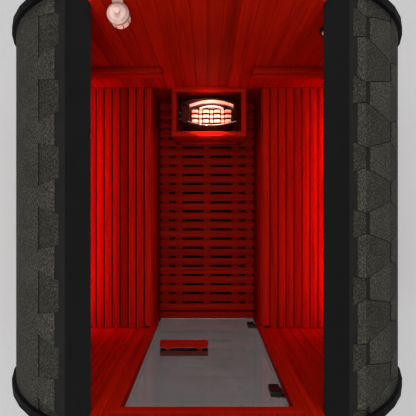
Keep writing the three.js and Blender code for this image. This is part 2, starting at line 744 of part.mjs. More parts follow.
// ---------------------------------------------------------------- steel bands under the barrel
for (const [endName, end] of [['front', -1], ['back', 1]]) {
  const y0 = end * (halfLength - bandFromEnd) - bandWidth / 2;
  const halves = sides.map(([, side]) => ring(
    coverInner, coverInner + bandThickness, coverEndStave, staveCount / 2, side, y0, y0 + bandWidth,
  ));
  const lowest = (coverInner + bandThickness) * cornerFactor;
  const clip = block(-bandJoinHalfWidth, bandJoinHalfWidth, y0, y0 + bandWidth, -lowest,
    -coverInner * cornerFactor - gap / 2);
  place(`steel_band_${endName}`, join(...halves, clip), bandSteel);
}

// ---------------------------------------------------------------- cradles
const saddleRadius = barrelOuterRadius * cornerFactor + gap;
for (const [endName, end] of [['front', -1], ['back', 1]]) {
  const hornZ = cradleHornHeight - axisHeight;
  const hornX = chord(saddleRadius, hornZ);
  const points = [
    [-cradleHalfWidth, -axisHeight], [cradleHalfWidth, -axisHeight], [cradleHalfWidth, hornZ],
    ...lowerArc(saddleRadius, hornX, -hornX, 30), [-cradleHalfWidth, hornZ],
  ];
  const y = end * (halfLength - cradleFromEnd);
  place(`cradle_${endName}`, alongY(points, y - cradleThickness / 2, y + cradleThickness / 2), cradleWood);
}

export default sauna;
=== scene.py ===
"""Barrel sauna with its ridge left open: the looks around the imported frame, laid out as an add-on."""

import json
import math

import bpy
import numpy as np
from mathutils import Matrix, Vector


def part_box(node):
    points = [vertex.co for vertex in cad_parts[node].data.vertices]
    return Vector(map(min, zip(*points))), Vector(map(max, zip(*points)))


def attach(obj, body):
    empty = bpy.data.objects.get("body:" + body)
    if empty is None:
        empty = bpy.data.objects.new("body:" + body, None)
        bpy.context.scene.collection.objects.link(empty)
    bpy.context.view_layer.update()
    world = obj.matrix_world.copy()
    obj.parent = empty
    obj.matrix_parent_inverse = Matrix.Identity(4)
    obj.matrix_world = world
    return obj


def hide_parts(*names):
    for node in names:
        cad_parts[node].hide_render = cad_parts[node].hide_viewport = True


bl_info = {
    "name": "Barrel sauna",
    "version": (1, 0, 0),
    "blender": (4, 5, 0),
    "location": "3D View > Sidebar > Sauna",
    "description": "Builds the boards, shingles, glass, heater and lamps of a barrel sauna",
    "category": "Add Mesh",
}

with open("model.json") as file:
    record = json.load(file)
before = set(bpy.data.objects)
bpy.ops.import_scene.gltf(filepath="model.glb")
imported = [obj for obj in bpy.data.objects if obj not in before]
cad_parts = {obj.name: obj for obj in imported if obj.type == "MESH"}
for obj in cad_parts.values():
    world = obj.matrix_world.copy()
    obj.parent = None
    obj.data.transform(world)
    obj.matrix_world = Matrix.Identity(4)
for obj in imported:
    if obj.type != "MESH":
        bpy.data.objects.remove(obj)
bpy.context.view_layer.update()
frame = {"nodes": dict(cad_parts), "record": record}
HINGE = frame["record"]["behaviour"]["joints"][0]["pos_m"]
AXIS_Z = HINGE[2]                     # the barrel's axis above the ground
MM = 0.001

X, Y, Z = 0, 1, 2


# ------------------------------------------------------------------------------ measures from the frame
def low(node):
    """The lowest corner of a node's box."""
    return np.array(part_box(node)[0])


def high(node):
    """The highest corner of a node's box."""
    return np.array(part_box(node)[1])


BARREL_Y = (low("shell_left_side")[Y], high("shell_left_side")[Y])
COVER_Y = (low("roof_cover_left")[Y], high("roof_cover_left")[Y])
CUT_Z = high("shell_left_upper")[Z] - AXIS_Z
OUTER_RADIUS = AXIS_Z - low("shell_left_bottom")[Z]   # at the joints between staves
STAVES = 48
STAVE_ANGLE = 2 * math.pi / STAVES
TO_FLAT = math.cos(STAVE_ANGLE / 2)
OUTER_FLAT = OUTER_RADIUS * TO_FLAT
WALL_BACK_Y = (low("back_wall")[Y], high("back_wall")[Y])
WALL_FRONT_Y = (low("front_wall_left")[Y], high("front_wall_left")[Y])
SHELL_THICKNESS = OUTER_FLAT - (AXIS_Z - low("back_wall")[Z]) - 0.3 * MM
INNER_FLAT = OUTER_FLAT - SHELL_THICKNESS


# ------------------------------------------------------------------------------ settings
def linear(text):
    """Turns an sRGB hex colour into linear light: the power curve of sRGB, or a division near black."""
    value = np.array([int(text[i:i + 2], 16) for i in (1, 3, 5)]) / 255
    return tuple(np.where(value <= 0.04045, value / 12.92, ((value + 0.055) / 1.055) ** 2.4))


def length(name, description, default):
    return bpy.props.FloatProperty(
        name=name, description=description, default=default, min=0.0, unit="LENGTH", subtype="DISTANCE",
    )


def colour(name, description, default):
    return bpy.props.FloatVectorProperty(
        name=name, description=description, default=linear(default), size=3, min=0.0, max=1.0,
        subtype="COLOR",
    )


class SaunaSizes(bpy.types.PropertyGroup):
    """Sizes that the frame doesn't hold."""

    stave_groove: length("Stave groove", "Width of the chamfer on each long edge of a stave", 3.0 * MM)
    board_pitch: length("Board pitch", "Face width of a wall board", 72 * MM)
    board_groove: length("Board groove", "Chamfer on each long edge of a wall board", 2.6 * MM)
    edge_round: length("Edge rounding", "Rounding of planed slats and frames", 3.0 * MM)
    floor_slat: length("Floor slat", "Width of one slat of the walking floor", 54.5 * MM)
    floor_batten: length("Floor batten", "Width of the battens under the slats", 57 * MM)
    slat_thickness: length("Floor slat thickness", "Thickness of a floor slat", 22 * MM)
    bench_slat: length("Bench slat", "Width of one bench slat", 48.5 * MM)
    bench_gap: length("Bench gap", "Gap between bench slats", 8 * MM)
    bench_thickness: length("Bench slat thickness", "Thickness of a bench slat", 28 * MM)
    shingle_pitch: length("Shingle pitch", "Distance between shingle tabs along the barrel", 285.6 * MM)
    shingle_thickness: length("Shingle thickness", "Thickness of one shingle", 3.2 * MM)


class SaunaColours(bpy.types.PropertyGroup):
    """Colours of the finishes."""

    # The red of the two timber colours is painted red light; the wood under it is natural softwood, not
    # stained.
    timber: colour("Timber", "Red stain on planed softwood", "#a01404")
    timber_dark: colour("Timber grain", "Late wood and joints under the stain", "#780c02")
    shingle: colour("Shingle", "Lighter mineral granules", "#3e3d35")
    shingle_dark: colour("Shingle shadow", "Darker mineral granules", "#262520")
    felt: colour("Felt", "Bitumen underlay felt", "#1c1c1b")
    trim: colour("Trim", "Black painted metal", "#0d0d0d")
    glow: colour("Glow", "Red light of the strips above the benches", "#ff4022")


# ------------------------------------------------------------------------------ surfaces
def new_piece(name, parts, material, body="sauna", replaces=(), smooth=30):
    """Makes one mesh object from (vertices, faces, tone) parts, where tone is one number for each vertex.
    It rides on its body and stands for the CAD nodes that it replaces."""
    points, faces, tones, offset = [], [], [], 0
    for vertices, polygons, tone in parts:
        points.append(np.asarray(vertices, float).reshape(-1, 3))
        faces += [[int(i) + offset for i in polygon] for polygon in polygons]
        tones.append(np.broadcast_to(np.asarray(tone, float), (len(points[-1]),)))
        offset += len(points[-1])
    mesh = bpy.data.meshes.new(name)
    mesh.from_pydata(np.concatenate(points).tolist(), [], faces)
    attribute = mesh.attributes.new("tone", "FLOAT", "POINT")
    attribute.data.foreach_set("value", np.concatenate(tones).astype(np.float32))
    mesh.materials.append(material)
    mesh.validate()
    mesh.shade_smooth()
    mesh.set_sharp_from_angle(angle=math.radians(smooth))
    piece = bpy.data.objects.new(name, mesh)
    bpy.context.scene.collection.objects.link(piece)
    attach(piece, body)
    if replaces:
        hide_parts(*replaces)
    return piece


def grid_faces(rows, columns, wrap_rows=False, wrap_columns=False):
    """Quads of a grid of rows by columns, closed on itself in either direction where asked."""
    r = np.arange(rows if wrap_rows else rows - 1)[:, None]
    c = np.arange(columns if wrap_columns else columns - 1)[None, :]
    r2, c2 = (r + 1) % rows, (c + 1) % columns
    quads = [r * columns + c, r * columns + c2, r2 * columns + c2, r2 * columns + c]
    return np.stack([q + 0 * (r + c) for q in quads], -1).reshape(-1, 4)


def swept(sections, tone=0.0, caps=True):
    """A closed bar: sections is rings of points along the bar, each ring a loop that runs round it
    counter-clockwise as seen from the bar's far end. The ends are closed by flat caps."""
    rings, count = sections.shape[:2]
    faces = grid_faces(rings, count, wrap_columns=True).tolist()
    if caps:
        faces.append(list(range(count))[::-1])
        faces.append(list(range((rings - 1) * count, rings * count)))
    return sections.reshape(-1, 3), faces, tone


def round_section(half_u, half_v, radius, steps=3):
    """A rectangle with round corners: each corner's quarter circle stands at the corner moved inwards
    by the radius. Gives points counter-clockwise in (u, v)."""
    angles = np.linspace(0, math.pi / 2, steps)
    corners = []
    for turn, (su, sv) in enumerate([(1, 1), (-1, 1), (-1, -1), (1, -1)]):
        a = angles + turn * math.pi / 2
        corners.append(np.stack([
            su * (half_u - radius) + radius * np.cos(a), sv * (half_v - radius) + radius * np.sin(a),
        ], -1))
    return np.concatenate(corners)


def bars(boxes, along, radius, seed=0, steps=3):
    """Planed bars from their boxes: a rounded rectangle carried along one axis, drawn in by the radius
    over the last stretch at each end. Each bar gets a tone of its own from a seeded draw."""
    draw = np.random.default_rng(seed)
    u, v = (along + 1) % 3, (along + 2) % 3
    parts = []
    for box in boxes:
        lo, hi = np.asarray(box, float)
        half = (hi - lo) / 2
        centre = (hi + lo) / 2
        r = min(radius, 0.45 * half[u], 0.45 * half[v])
        full = round_section(half[u], half[v], r, steps)
        small = round_section(half[u] - r, half[v] - r, r * 0.3, steps)
        rings = []
        for w, section in ((-half[along], small), (-half[along] + r, full), (half[along] - r, full),
                           (half[along], small)):
            ring = np.zeros((len(section), 3))
            ring[:, u], ring[:, v], ring[:, along] = section[:, 0], section[:, 1], w
            rings.append(ring + centre)
        parts.append(swept(np.stack(rings), draw.uniform(0, 1)))
    return parts


def tube(path, radius, sides=10, closed=False, tone=0.0):
    """A round bar along a path: at each point a circle stands across the path's direction, in a frame
    that is turned along with the path from one point to the next."""
    path = np.asarray(path, float)
    if closed:
        ahead = np.roll(path, -1, 0) - np.roll(path, 1, 0)
    else:
        ahead = np.gradient(path, axis=0)
    ahead /= np.linalg.norm(ahead, axis=1)[:, None]
    side = np.cross(ahead[0], [0, 0, 1] if abs(ahead[0][2]) < 0.9 else [1, 0, 0])
    sides_at = []
    for direction in ahead:
        side = side - direction * (side @ direction)
        side /= np.linalg.norm(side)
        sides_at.append(side)
    across = np.array(sides_at)
    up = np.cross(ahead, across)
    angle = np.linspace(0, 2 * math.pi, sides, endpoint=False)
    ring = np.cos(angle)[None, :, None] * across[:, None] + np.sin(angle)[None, :, None] * up[:, None]
    points = path[:, None] + radius * ring
    if not closed:
        return swept(points, tone)
    return points.reshape(-1, 3), grid_faces(*points.shape[:2], True, True).tolist(), tone


def turned(profile, centre, axis=Z, sides=48, tone=0.0):
    """A surface of revolution: the profile's (radius, height) points go round an axis, and both ends
    of the profile are closed by a flat cap."""
    profile = np.asarray(profile, float)
    angle = np.linspace(0, 2 * math.pi, sides, endpoint=False)
    u, v = (axis + 1) % 3, (axis + 2) % 3
    points = np.zeros((len(profile), sides, 3))
    points[..., u] = profile[:, :1] * np.cos(angle)
    points[..., v] = profile[:, :1] * np.sin(angle)
    points[..., axis] = profile[:, 1:]
    return swept(points + np.asarray(centre), tone)


def on_barrel(radius, angle, y):
    """A point of the barrel: its radius from the axis, its angle from the top towards +X, and its y."""
    radius, angle, y = np.broadcast_arrays(radius, angle, y)
    return np.stack([radius * np.sin(angle), y, AXIS_Z + radius * np.cos(angle)], -1)


def clip_below(outline, height):
    """Keeps the part of a flat outline of (x, z) points that lies below a height: where an edge crosses
    it, the crossing point is added."""
    kept = []
    for (x0, z0), (x1, z1) in zip(outline, np.roll(outline, -1, 0)):
        if z0 <= height:
            kept.append((x0, z0))
        if (z0 - height) * (z1 - height) < 0:
            t = (height - z0) / (z1 - z0)
            kept.append((x0 + t * (x1 - x0), height))
    return np.array(kept)


def extruded(outline, y0, y1, tone=0.0, draw_in=0.0):
    """A flat outline of (x, z) points carried along Y. Near each end it is drawn in towards its middle
    by a little, which rounds the arris."""
    outline = np.asarray(outline, float)
    area = 0.5 * np.sum(
        outline[:, 0] * np.roll(outline[:, 1], -1) - np.roll(outline[:, 0], -1) * outline[:, 1])
    if area > 0:
        outline = outline[::-1]
    middle = outline.mean(0)
    reach = np.linalg.norm(outline - middle, axis=1).max()
    small = middle + (outline - middle) * (1 - draw_in / reach)
    rings = [(y0, small), (y0 + draw_in, outline), (y1 - draw_in, outline), (y1, small)]
    if not draw_in:
        rings = [(y0, outline), (y1, outline)]
    points = np.stack([np.stack([o[:, 0], np.full(len(o), y), o[:, 1] + AXIS_Z], -1) for y, o in rings])
    return swept(points, tone)


# ------------------------------------------------------------------------------ materials
def add(tree, kind, inputs=None, **settings):
    """Adds one node: settings are its properties, and an input given as a socket is linked to it."""
    made = tree.nodes.new(kind)
    for key, value in settings.items():
        setattr(made, key, value)
    for key, value in (inputs or {}).items():
        if isinstance(value, bpy.types.NodeSocket):
            tree.links.new(value, made.inputs[key])
        else:
            made.inputs[key].default_value = value
    return made


def start(name, **shader):
    """A new material with a Principled shader, and the sockets that are the same all over it."""
    material = bpy.data.materials.new(name)
    material.use_nodes = True
    tree = material.node_tree
    tree.nodes.clear()
    surface = add(tree, "ShaderNodeBsdfPrincipled", shader)
    add(tree, "ShaderNodeOutputMaterial", {"Surface": surface.outputs[0]})
    return material, tree, surface


def ramp(tree, factor, stops):
    """A colour ramp over (position, colour) stops."""
    made = add(tree, "ShaderNodeValToRGB", {"Fac": factor})
    elements = made.color_ramp.elements
    while len(elements) < len(stops):
        elements.new(0.5)
    for element, (position, shade) in zip(elements, stops):
        element.position = position
        element.color = (*tuple(shade)[:3], 1.0)
    return made.outputs["Color"]


def shade(value, factor):
    """A colour made lighter or darker by a factor."""
    return tuple(min(1.0, float(c) * factor) for c in tuple(value)[:3])


def painted_under_floor_shade(tree, place):
    """A factor that is low on the barrel's inner face between its end walls and 1 elsewhere: it paints
    shade on the wood there, under the floor where little light reaches. It compares the squared distance
    from the barrel's axis, and the distance along the barrel, with the bore's."""
    at = add(tree, "ShaderNodeSeparateXYZ", {"Vector": place})
    rise = add(tree, "ShaderNodeMath", {0: at.outputs["Z"], 1: AXIS_Z}, operation="SUBTRACT")
    square_x = add(tree, "ShaderNodeMath", {0: at.outputs["X"], 1: 2.0}, operation="POWER")
    square_z = add(tree, "ShaderNodeMath", {0: rise.outputs[0], 1: 2.0}, operation="POWER")
    reach = add(tree, "ShaderNodeMath", {0: square_x.outputs[0], 1: square_z.outputs[0]}, operation="ADD")
    bore = (INNER_FLAT / TO_FLAT + 8 * MM) ** 2
    inside = add(tree, "ShaderNodeMath", {0: reach.outputs[0], 1: bore}, operation="LESS_THAN")
    off = add(tree, "ShaderNodeMath", {0: at.outputs["Y"]}, operation="ABSOLUTE")
    between = add(tree, "ShaderNodeMath", {0: off.outputs[0], 1: -WALL_FRONT_Y[1] - 2 * MM},
                  operation="LESS_THAN")
    both = add(tree, "ShaderNodeMath", {0: inside.outputs[0], 1: between.outputs[0]}, operation="MULTIPLY")
    return add(tree, "ShaderNodeMapRange", {
        "Value": both.outputs[0], "To Min": 1.0, "To Max": 0.07}).outputs[0]


def timber(name, pale, dark, along, strength=1.0, roughness=0.55, under_floor_shade=False):
    """Planed softwood whose red is painted red light, over real grain. Growth rings 5 mm apart are drawn out
    forty times along the grain, each board is offset by its tone, and fine pores break the sheen. Where
    asked, painted shade darkens the wood where it faces the room under the floor."""
    material, tree, surface = start(name, **{"Specular IOR Level": 0.03})
    place = add(tree, "ShaderNodeTexCoord").outputs["Object"]
    board = add(tree, "ShaderNodeAttribute", attribute_name="tone").outputs["Fac"]
    shift = add(tree, "ShaderNodeCombineXYZ", {"X": board, "Y": board, "Z": board}).outputs[0]
    moved = add(tree, "ShaderNodeVectorMath", {0: place, 1: shift}, operation="MULTIPLY_ADD")
    moved.inputs[1].default_value = (1.0, 1.0, 1.0)
    tree.links.new(shift, moved.inputs[2])
    ring = 1 / (5 * MM)
    scale = [ring, ring, ring]
    scale[along] = ring / 40
    grain_at = add(tree, "ShaderNodeMapping", {"Vector": moved.outputs[0], "Scale": scale}).outputs[0]
    grain = add(tree, "ShaderNodeTexNoise", {
        "Vector": grain_at, "Scale": 0.35, "Detail": 5.0, "Roughness": 0.62, "Distortion": 0.6})
    fine = [1 / (0.9 * MM)] * 3
    fine[along] = 1 / (60 * MM)
    pores_at = add(tree, "ShaderNodeMapping", {"Vector": moved.outputs[0], "Scale": fine}).outputs[0]
    pores = add(tree, "ShaderNodeTexNoise", {"Vector": pores_at, "Scale": 1.0, "Detail": 2.0})
    wood = ramp(tree, grain.outputs["Fac"], [
        (0.32, dark), (0.47, shade(pale, 0.88)), (0.56, pale), (0.75, shade(pale, 1.1))])
    between = add(tree, "ShaderNodeMapRange", {"Value": board, "To Min": 0.88, "To Max": 1.08})
    speck = add(tree, "ShaderNodeMapRange", {
        "Value": pores.outputs["Fac"], "From Min": 0.3, "From Max": 0.7, "To Min": 0.93, "To Max": 1.04})
    tone = add(tree, "ShaderNodeMath", {0: between.outputs[0], 1: speck.outputs[0]}, operation="MULTIPLY")
    if under_floor_shade:
        tone = add(tree, "ShaderNodeMath", {0: tone.outputs[0], 1: painted_under_floor_shade(tree, place)},
                   operation="MULTIPLY")
    mixed = add(tree, "ShaderNodeVectorMath", {0: wood, "Scale": tone.outputs[0]}, operation="SCALE")
    tree.links.new(mixed.outputs[0], surface.inputs["Base Color"])
    sheen = add(tree, "ShaderNodeMapRange", {
        "Value": grain.outputs["Fac"], "To Min": roughness + 0.12, "To Max": roughness - 0.1})
    tree.links.new(sheen.outputs[0], surface.inputs["Roughness"])
    relief = add(tree, "ShaderNodeMath", {
        0: grain.outputs["Fac"], 1: pores.outputs["Fac"]}, operation="ADD")
    bump = add(tree, "ShaderNodeBump", {
        "Height": relief.outputs[0], "Strength": 0.35 * strength, "Distance": 0.5 * MM})
    tree.links.new(bump.outputs[0], surface.inputs["Normal"])
    return material


def granules(name, light, dark, grit):
    """Bitumen sheet dressed with mineral granules. Real grit is about 1.5 mm; here it is drawn at about
    5 mm so that it shows. The tone lightens or darkens each tab."""
    material, tree, surface = start(name, **{"Specular IOR Level": 0.15})
    place = add(tree, "ShaderNodeTexCoord").outputs["Object"]
    tone = add(tree, "ShaderNodeAttribute", attribute_name="tone").outputs["Fac"]
    cells = add(tree, "ShaderNodeTexVoronoi", {"Vector": place, "Scale": 1 / grit, "Randomness": 1.0})
    cloud = add(tree, "ShaderNodeTexNoise", {"Vector": place, "Scale": 9.0, "Detail": 3.0})
    speck = add(tree, "ShaderNodeTexNoise", {"Vector": place, "Scale": 0.6 / grit, "Detail": 4.0,
                                           "Roughness": 0.75})
    grains = ramp(tree, speck.outputs["Fac"], [
        (0.32, shade(dark, 0.45)), (0.47, dark), (0.55, light), (0.70, shade(light, 1.75))])
    depth = add(tree, "ShaderNodeMapRange", {"Value": tone, "To Min": 0.45, "To Max": 1.25})
    patch = add(tree, "ShaderNodeMapRange", {
        "Value": cloud.outputs["Fac"], "From Min": 0.3, "From Max": 0.7, "To Min": 0.85, "To Max": 1.12})
    amount = add(tree, "ShaderNodeMath", {0: depth.outputs[0], 1: patch.outputs[0]}, operation="MULTIPLY")
    mixed = add(tree, "ShaderNodeVectorMath", {0: grains, "Scale": amount.outputs[0]}, operation="SCALE")
    tree.links.new(mixed.outputs[0], surface.inputs["Base Color"])
    rough = add(tree, "ShaderNodeMapRange", {
        "Value": cells.outputs["Distance"], "To Min": 0.72, "To Max": 0.98})
    tree.links.new(rough.outputs[0], surface.inputs["Roughness"])
    bump = add(tree, "ShaderNodeBump", {
        "Height": cells.outputs["Distance"], "Strength": 0.8, "Distance": 1.2 * MM})
    tree.links.new(bump.outputs[0], surface.inputs["Normal"])
    return material


def painted(name, value, roughness, grain=1.5 * MM, metallic=0.0, unevenness=0.12, gloss=0.5):
    """Paint, enamel or moulded plastic: one colour that clouds a little, over a fine orange-peel skin."""
    material, tree, surface = start(name, **{"Metallic": metallic, "Specular IOR Level": gloss})
    place = add(tree, "ShaderNodeTexCoord").outputs["Object"]
    cloud = add(tree, "ShaderNodeTexNoise", {"Vector": place, "Scale": 14.0, "Detail": 4.0})
    peel = add(tree, "ShaderNodeTexNoise", {"Vector": place, "Scale": 1 / grain, "Detail": 2.0})
    value_at = ramp(tree, cloud.outputs["Fac"], [
        (0.3, shade(value, 1 - unevenness)), (0.7, shade(value, 1 + unevenness))])
    tree.links.new(value_at, surface.inputs["Base Color"])
    rough = add(tree, "ShaderNodeMapRange", {
        "Value": cloud.outputs["Fac"], "To Min": roughness - 0.08, "To Max": roughness + 0.1})
    tree.links.new(rough.outputs[0], surface.inputs["Roughness"])
    bump = add(tree, "ShaderNodeBump", {
        "Height": peel.outputs["Fac"], "Strength": 0.12, "Distance": 0.2 * MM})
    tree.links.new(bump.outputs[0], surface.inputs["Normal"])
    return material


def brushed(name, value, along, roughness=0.3):
    """Brushed steel: scratches 0.8 mm apart, drawn out along the brushing, vary the roughness."""
    material, tree, surface = start(name, **{"Metallic": 1.0})
    place = add(tree, "ShaderNodeTexCoord").outputs["Object"]
    scale = [1 / (0.8 * MM)] * 3
    scale[along] = 1 / (70 * MM)
    lines_at = add(tree, "ShaderNodeMapping", {"Vector": place, "Scale": scale}).outputs[0]
    lines = add(tree, "ShaderNodeTexNoise", {"Vector": lines_at, "Scale": 1.0, "Detail": 3.0})
    cloud = add(tree, "ShaderNodeTexNoise", {"Vector": place, "Scale": 20.0, "Detail": 3.0})
    value_at = ramp(tree, cloud.outputs["Fac"], [(0.3, shade(value, 0.86)), (0.7, shade(value, 1.08))])
    tree.links.new(value_at, surface.inputs["Base Color"])
    rough = add(tree, "ShaderNodeMapRange", {
        "Value": lines.outputs["Fac"], "From Min": 0.3, "From Max": 0.7,
        "To Min": roughness - 0.1, "To Max": roughness + 0.12})
    tree.links.new(rough.outputs[0], surface.inputs["Roughness"])
    bump = add(tree, "ShaderNodeBump", {
        "Height": lines.outputs["Fac"], "Strength": 0.1, "Distance": 0.1 * MM})
    tree.links.new(bump.outputs[0], surface.inputs["Normal"])
    return material


def rock(name, light, dark, strength=0.7):
    """Split volcanic stone: grey with dark and pale minerals 3 mm across, rough all over."""
    material, tree, surface = start(name)
    place = add(tree, "ShaderNodeTexCoord").outputs["Object"]
    mineral = add(tree, "ShaderNodeTexNoise", {
        "Vector": place, "Scale": 1 / (6 * MM), "Detail": 6.0, "Roughness": 0.7})
    value_at = ramp(tree, mineral.outputs["Fac"], [(0.35, dark), (0.5, light), (0.68, shade(light, 1.3))])
    tree.links.new(value_at, surface.inputs["Base Color"])
    rough = add(tree, "ShaderNodeMapRange", {
        "Value": mineral.outputs["Fac"], "To Min": 0.6, "To Max": 0.9})
    tree.links.new(rough.outputs[0], surface.inputs["Roughness"])
    bump = add(tree, "ShaderNodeBump", {
        "Height": mineral.outputs["Fac"], "Strength": strength, "Distance": 1.5 * MM})
    tree.links.new(bump.outputs[0], surface.inputs["Normal"])
    return material


def toughened_glass(name, tint):
    """Grey toughened glass: clear, with a faint roller wave 180 mm long in its skin and wiped streaks
    about 60 mm wide that blur what shows through it."""
    material, tree, surface = start(name, **{
        "Transmission Weight": 1.0, "IOR": 1.5, "Roughness": 0.03})
    place = add(tree, "ShaderNodeTexCoord").outputs["Object"]
    wave = add(tree, "ShaderNodeTexNoise", {"Vector": place, "Scale": 1 / 0.18, "Detail": 1.0})
    value_at = ramp(tree, wave.outputs["Fac"], [(0.3, shade(tint, 0.94)), (0.7, shade(tint, 1.05))])
    tree.links.new(value_at, surface.inputs["Base Color"])
    wiped_at = add(tree, "ShaderNodeMapping", {"Vector": place, "Scale": (1 / 0.06, 1 / 0.06, 1 / 0.5)})
    wiped = add(tree, "ShaderNodeTexNoise", {"Vector": wiped_at.outputs[0], "Scale": 0.6, "Detail": 3.0})
    blur = add(tree, "ShaderNodeMapRange", {
        "Value": wiped.outputs["Fac"], "From Min": 0.45, "From Max": 0.75, "To Min": 0.03, "To Max": 0.18})
    tree.links.new(blur.outputs[0], surface.inputs["Roughness"])
    bump = add(tree, "ShaderNodeBump", {
        "Height": wave.outputs["Fac"], "Strength": 0.03, "Distance": 0.4 * MM})
    tree.links.new(bump.outputs[0], surface.inputs["Normal"])
    return material


def opal(name, value, glow, power):
    """Opal glass that is lit from inside: white and glossy."""
    material, tree, surface = start(name, **{
        "Roughness": 0.2, "Emission Strength": power, "Emission Color": (*tuple(glow)[:3], 1.0)})
    place = add(tree, "ShaderNodeTexCoord").outputs["Object"]
    cloud = add(tree, "ShaderNodeTexNoise", {"Vector": place, "Scale": 30.0, "Detail": 2.0})
    value_at = ramp(tree, cloud.outputs["Fac"], [(0.3, shade(value, 0.93)), (0.7, value)])
    tree.links.new(value_at, surface.inputs["Base Color"])
    return material


_made = {}


def finish(name):
    """Returns one of the sauna's finishes, and makes it when it is first asked for."""
    if name in _made:
        return _made[name]
    c = bpy.context.scene.sauna_colours
    makers = {
        # The softwood finishes below take the timber red, which is painted red light on natural softwood.
        "stained_stave": lambda: timber("Stained_softwood_stave", c.timber, c.timber_dark, Y),
        "stained_board": lambda: timber("Stained_softwood_board", c.timber, c.timber_dark, Z),
        "stained_slat_y": lambda: timber("Stained_softwood_slat_lengthwise", c.timber, c.timber_dark, Y),
        "stained_slat_x": lambda: timber("Stained_softwood_slat_crosswise", c.timber, c.timber_dark, X),
        "stained_slat_z": lambda: timber("Stained_softwood_upright", c.timber, c.timber_dark, Z),
        "cradle": lambda: timber("Sawn_cradle_timber", linear("#7a4a30"), linear("#4b2a1a"), X, 1.6, 0.75),
        "damp_stave": lambda: timber("Damp_darkened_stave", c.timber, c.timber_dark, Y, under_floor_shade=True),
        # The bearers' near-black red is painted shade under the floor over painted red light.
        "damp_bearer": lambda: timber("Damp_darkened_bearer", linear("#2a0502"), linear("#160301"), X),
        "shingle": lambda: granules("Bitumen_shingle_granules", c.shingle, c.shingle_dark, 5 * MM),
        "felt": lambda: painted("Bitumen_underlay_felt", c.felt, 0.9, 2 * MM, gloss=0.1),
        "trim": lambda: painted("Powder_coated_edge_metal", c.trim, 0.62, 1 * MM, gloss=0.05),
        "black_metal": lambda: painted("Black_coated_hinge_metal", linear("#161616"), 0.4, 1 * MM, 0.4),
        "band": lambda: brushed("Galvanised_steel_band", linear("#b4b7b8"), Z, 0.34),
        "heater_steel": lambda: brushed("Brushed_stainless_heater", linear("#e6dfda"), X, 0.3),
        "heater_dark": lambda: painted("Blackened_heater_steel", linear("#1d1615"), 0.7, 2 * MM, 0.5),
        "glass": lambda: toughened_glass("Toughened_grey_glass", linear("#8a8c8c")),
        "opal": lambda: opal("Opal_lamp_glass", linear("#e8b4a6"), linear("#ffa894"), 0.45),
        "heater_inside": lambda: painted("Sooted_heater_steel", linear("#2a0a06"), 0.8, 2 * MM, gloss=0.1),
        # The pink of the heater sheet, the lamp enamel and the stones is painted red light on pale steel,
        # white enamel and grey stone.
        "pale_steel": lambda: painted("Satin_heater_sheet", linear("#d8b0a6"), 0.4, 1 * MM),
        "enamel": lambda: painted("White_stove_enamel", linear("#c9a59a"), 0.35, 1 * MM),
        "stone": lambda: rock("Heater_stone", linear("#ffb4a4"), linear("#d07a6a"), 0.4),
        "dial": lambda: painted("Printed_dial_card", linear("#efe6dc"), 0.5, 1 * MM),
        "dial_rim": lambda: painted("Black_moulded_rim", linear("#0d0d0d"), 0.45, 1 * MM),
        "glow": lambda: opal("Red_strip_diffuser", linear("#ff5a46"), c.glow, 14.0),
    }
    _made[name] = makers[name]()
    return _made[name]


def coat(node_names, material_name):
    """Gives CAD nodes a finish by their material slots."""
    for name in node_names:
        for slot in frame["nodes"][name].material_slots:
            slot.material = finish(material_name)


# ------------------------------------------------------------------------------ shell and walls
def stave_outline(index, side, groove):
    """Section of one stave as (x, z) points: a slice of the ring between two radial joints, with its
    four long edges cut back by the groove. Corner radii are the flat's distance over the cosine."""
    a0 = index * STAVE_ANGLE + 0.1 * MM / INNER_FLAT
    a1 = (index + 1) * STAVE_ANGLE - 0.1 * MM / INNER_FLAT
    middle = (index + 0.5) * STAVE_ANGLE
    turn = groove / INNER_FLAT
    points = []
    for flat, cut_in, first, last in ((INNER_FLAT, groove, a0, a1), (OUTER_FLAT, -groove, a1, a0)):
        inward = 1 if last > first else -1
        points += [
            ((flat + cut_in) / math.cos(first - middle), first),
            (flat / math.cos(first + inward * turn - middle), first + inward * turn),
            (flat / math.cos(last - inward * turn - middle), last - inward * turn),
            ((flat + cut_in) / math.cos(last - middle), last),
        ]
    radius, angle = np.array(points).T
    return np.stack([side * radius * np.sin(angle), radius * np.cos(angle)], -1)


def staves(side, name, sizes):
    """All staves of one side, from the cut of the ridge down to the bottom."""
    draw = np.random.default_rng(11 + side)
    parts, under_floor = [], []
    floor_edge = high("duckboard")[X] / INNER_FLAT
    for index in range(3, STAVES // 2):
        outline = clip_below(stave_outline(index, side, sizes.stave_groove), CUT_Z)
        if len(outline) > 2:
            below = math.sin(index * STAVE_ANGLE) < floor_edge and index > STAVES // 4
            (under_floor if below else parts).append(
                extruded(outline, *BARREL_Y, draw.uniform(0, 1), 1.2 * MM))
    names = [f"shell_{name}_{part}" for part in ("upper", "side", "lower", "bottom")]
    new_piece(f"staves_{name}", parts, finish("stained_stave"), replaces=names)
    # The staves under the floor take painted shade from their finish, which darkens them where they face the
    # room.
    new_piece(f"staves_under_floor_{name}", under_floor, finish("damp_stave"))


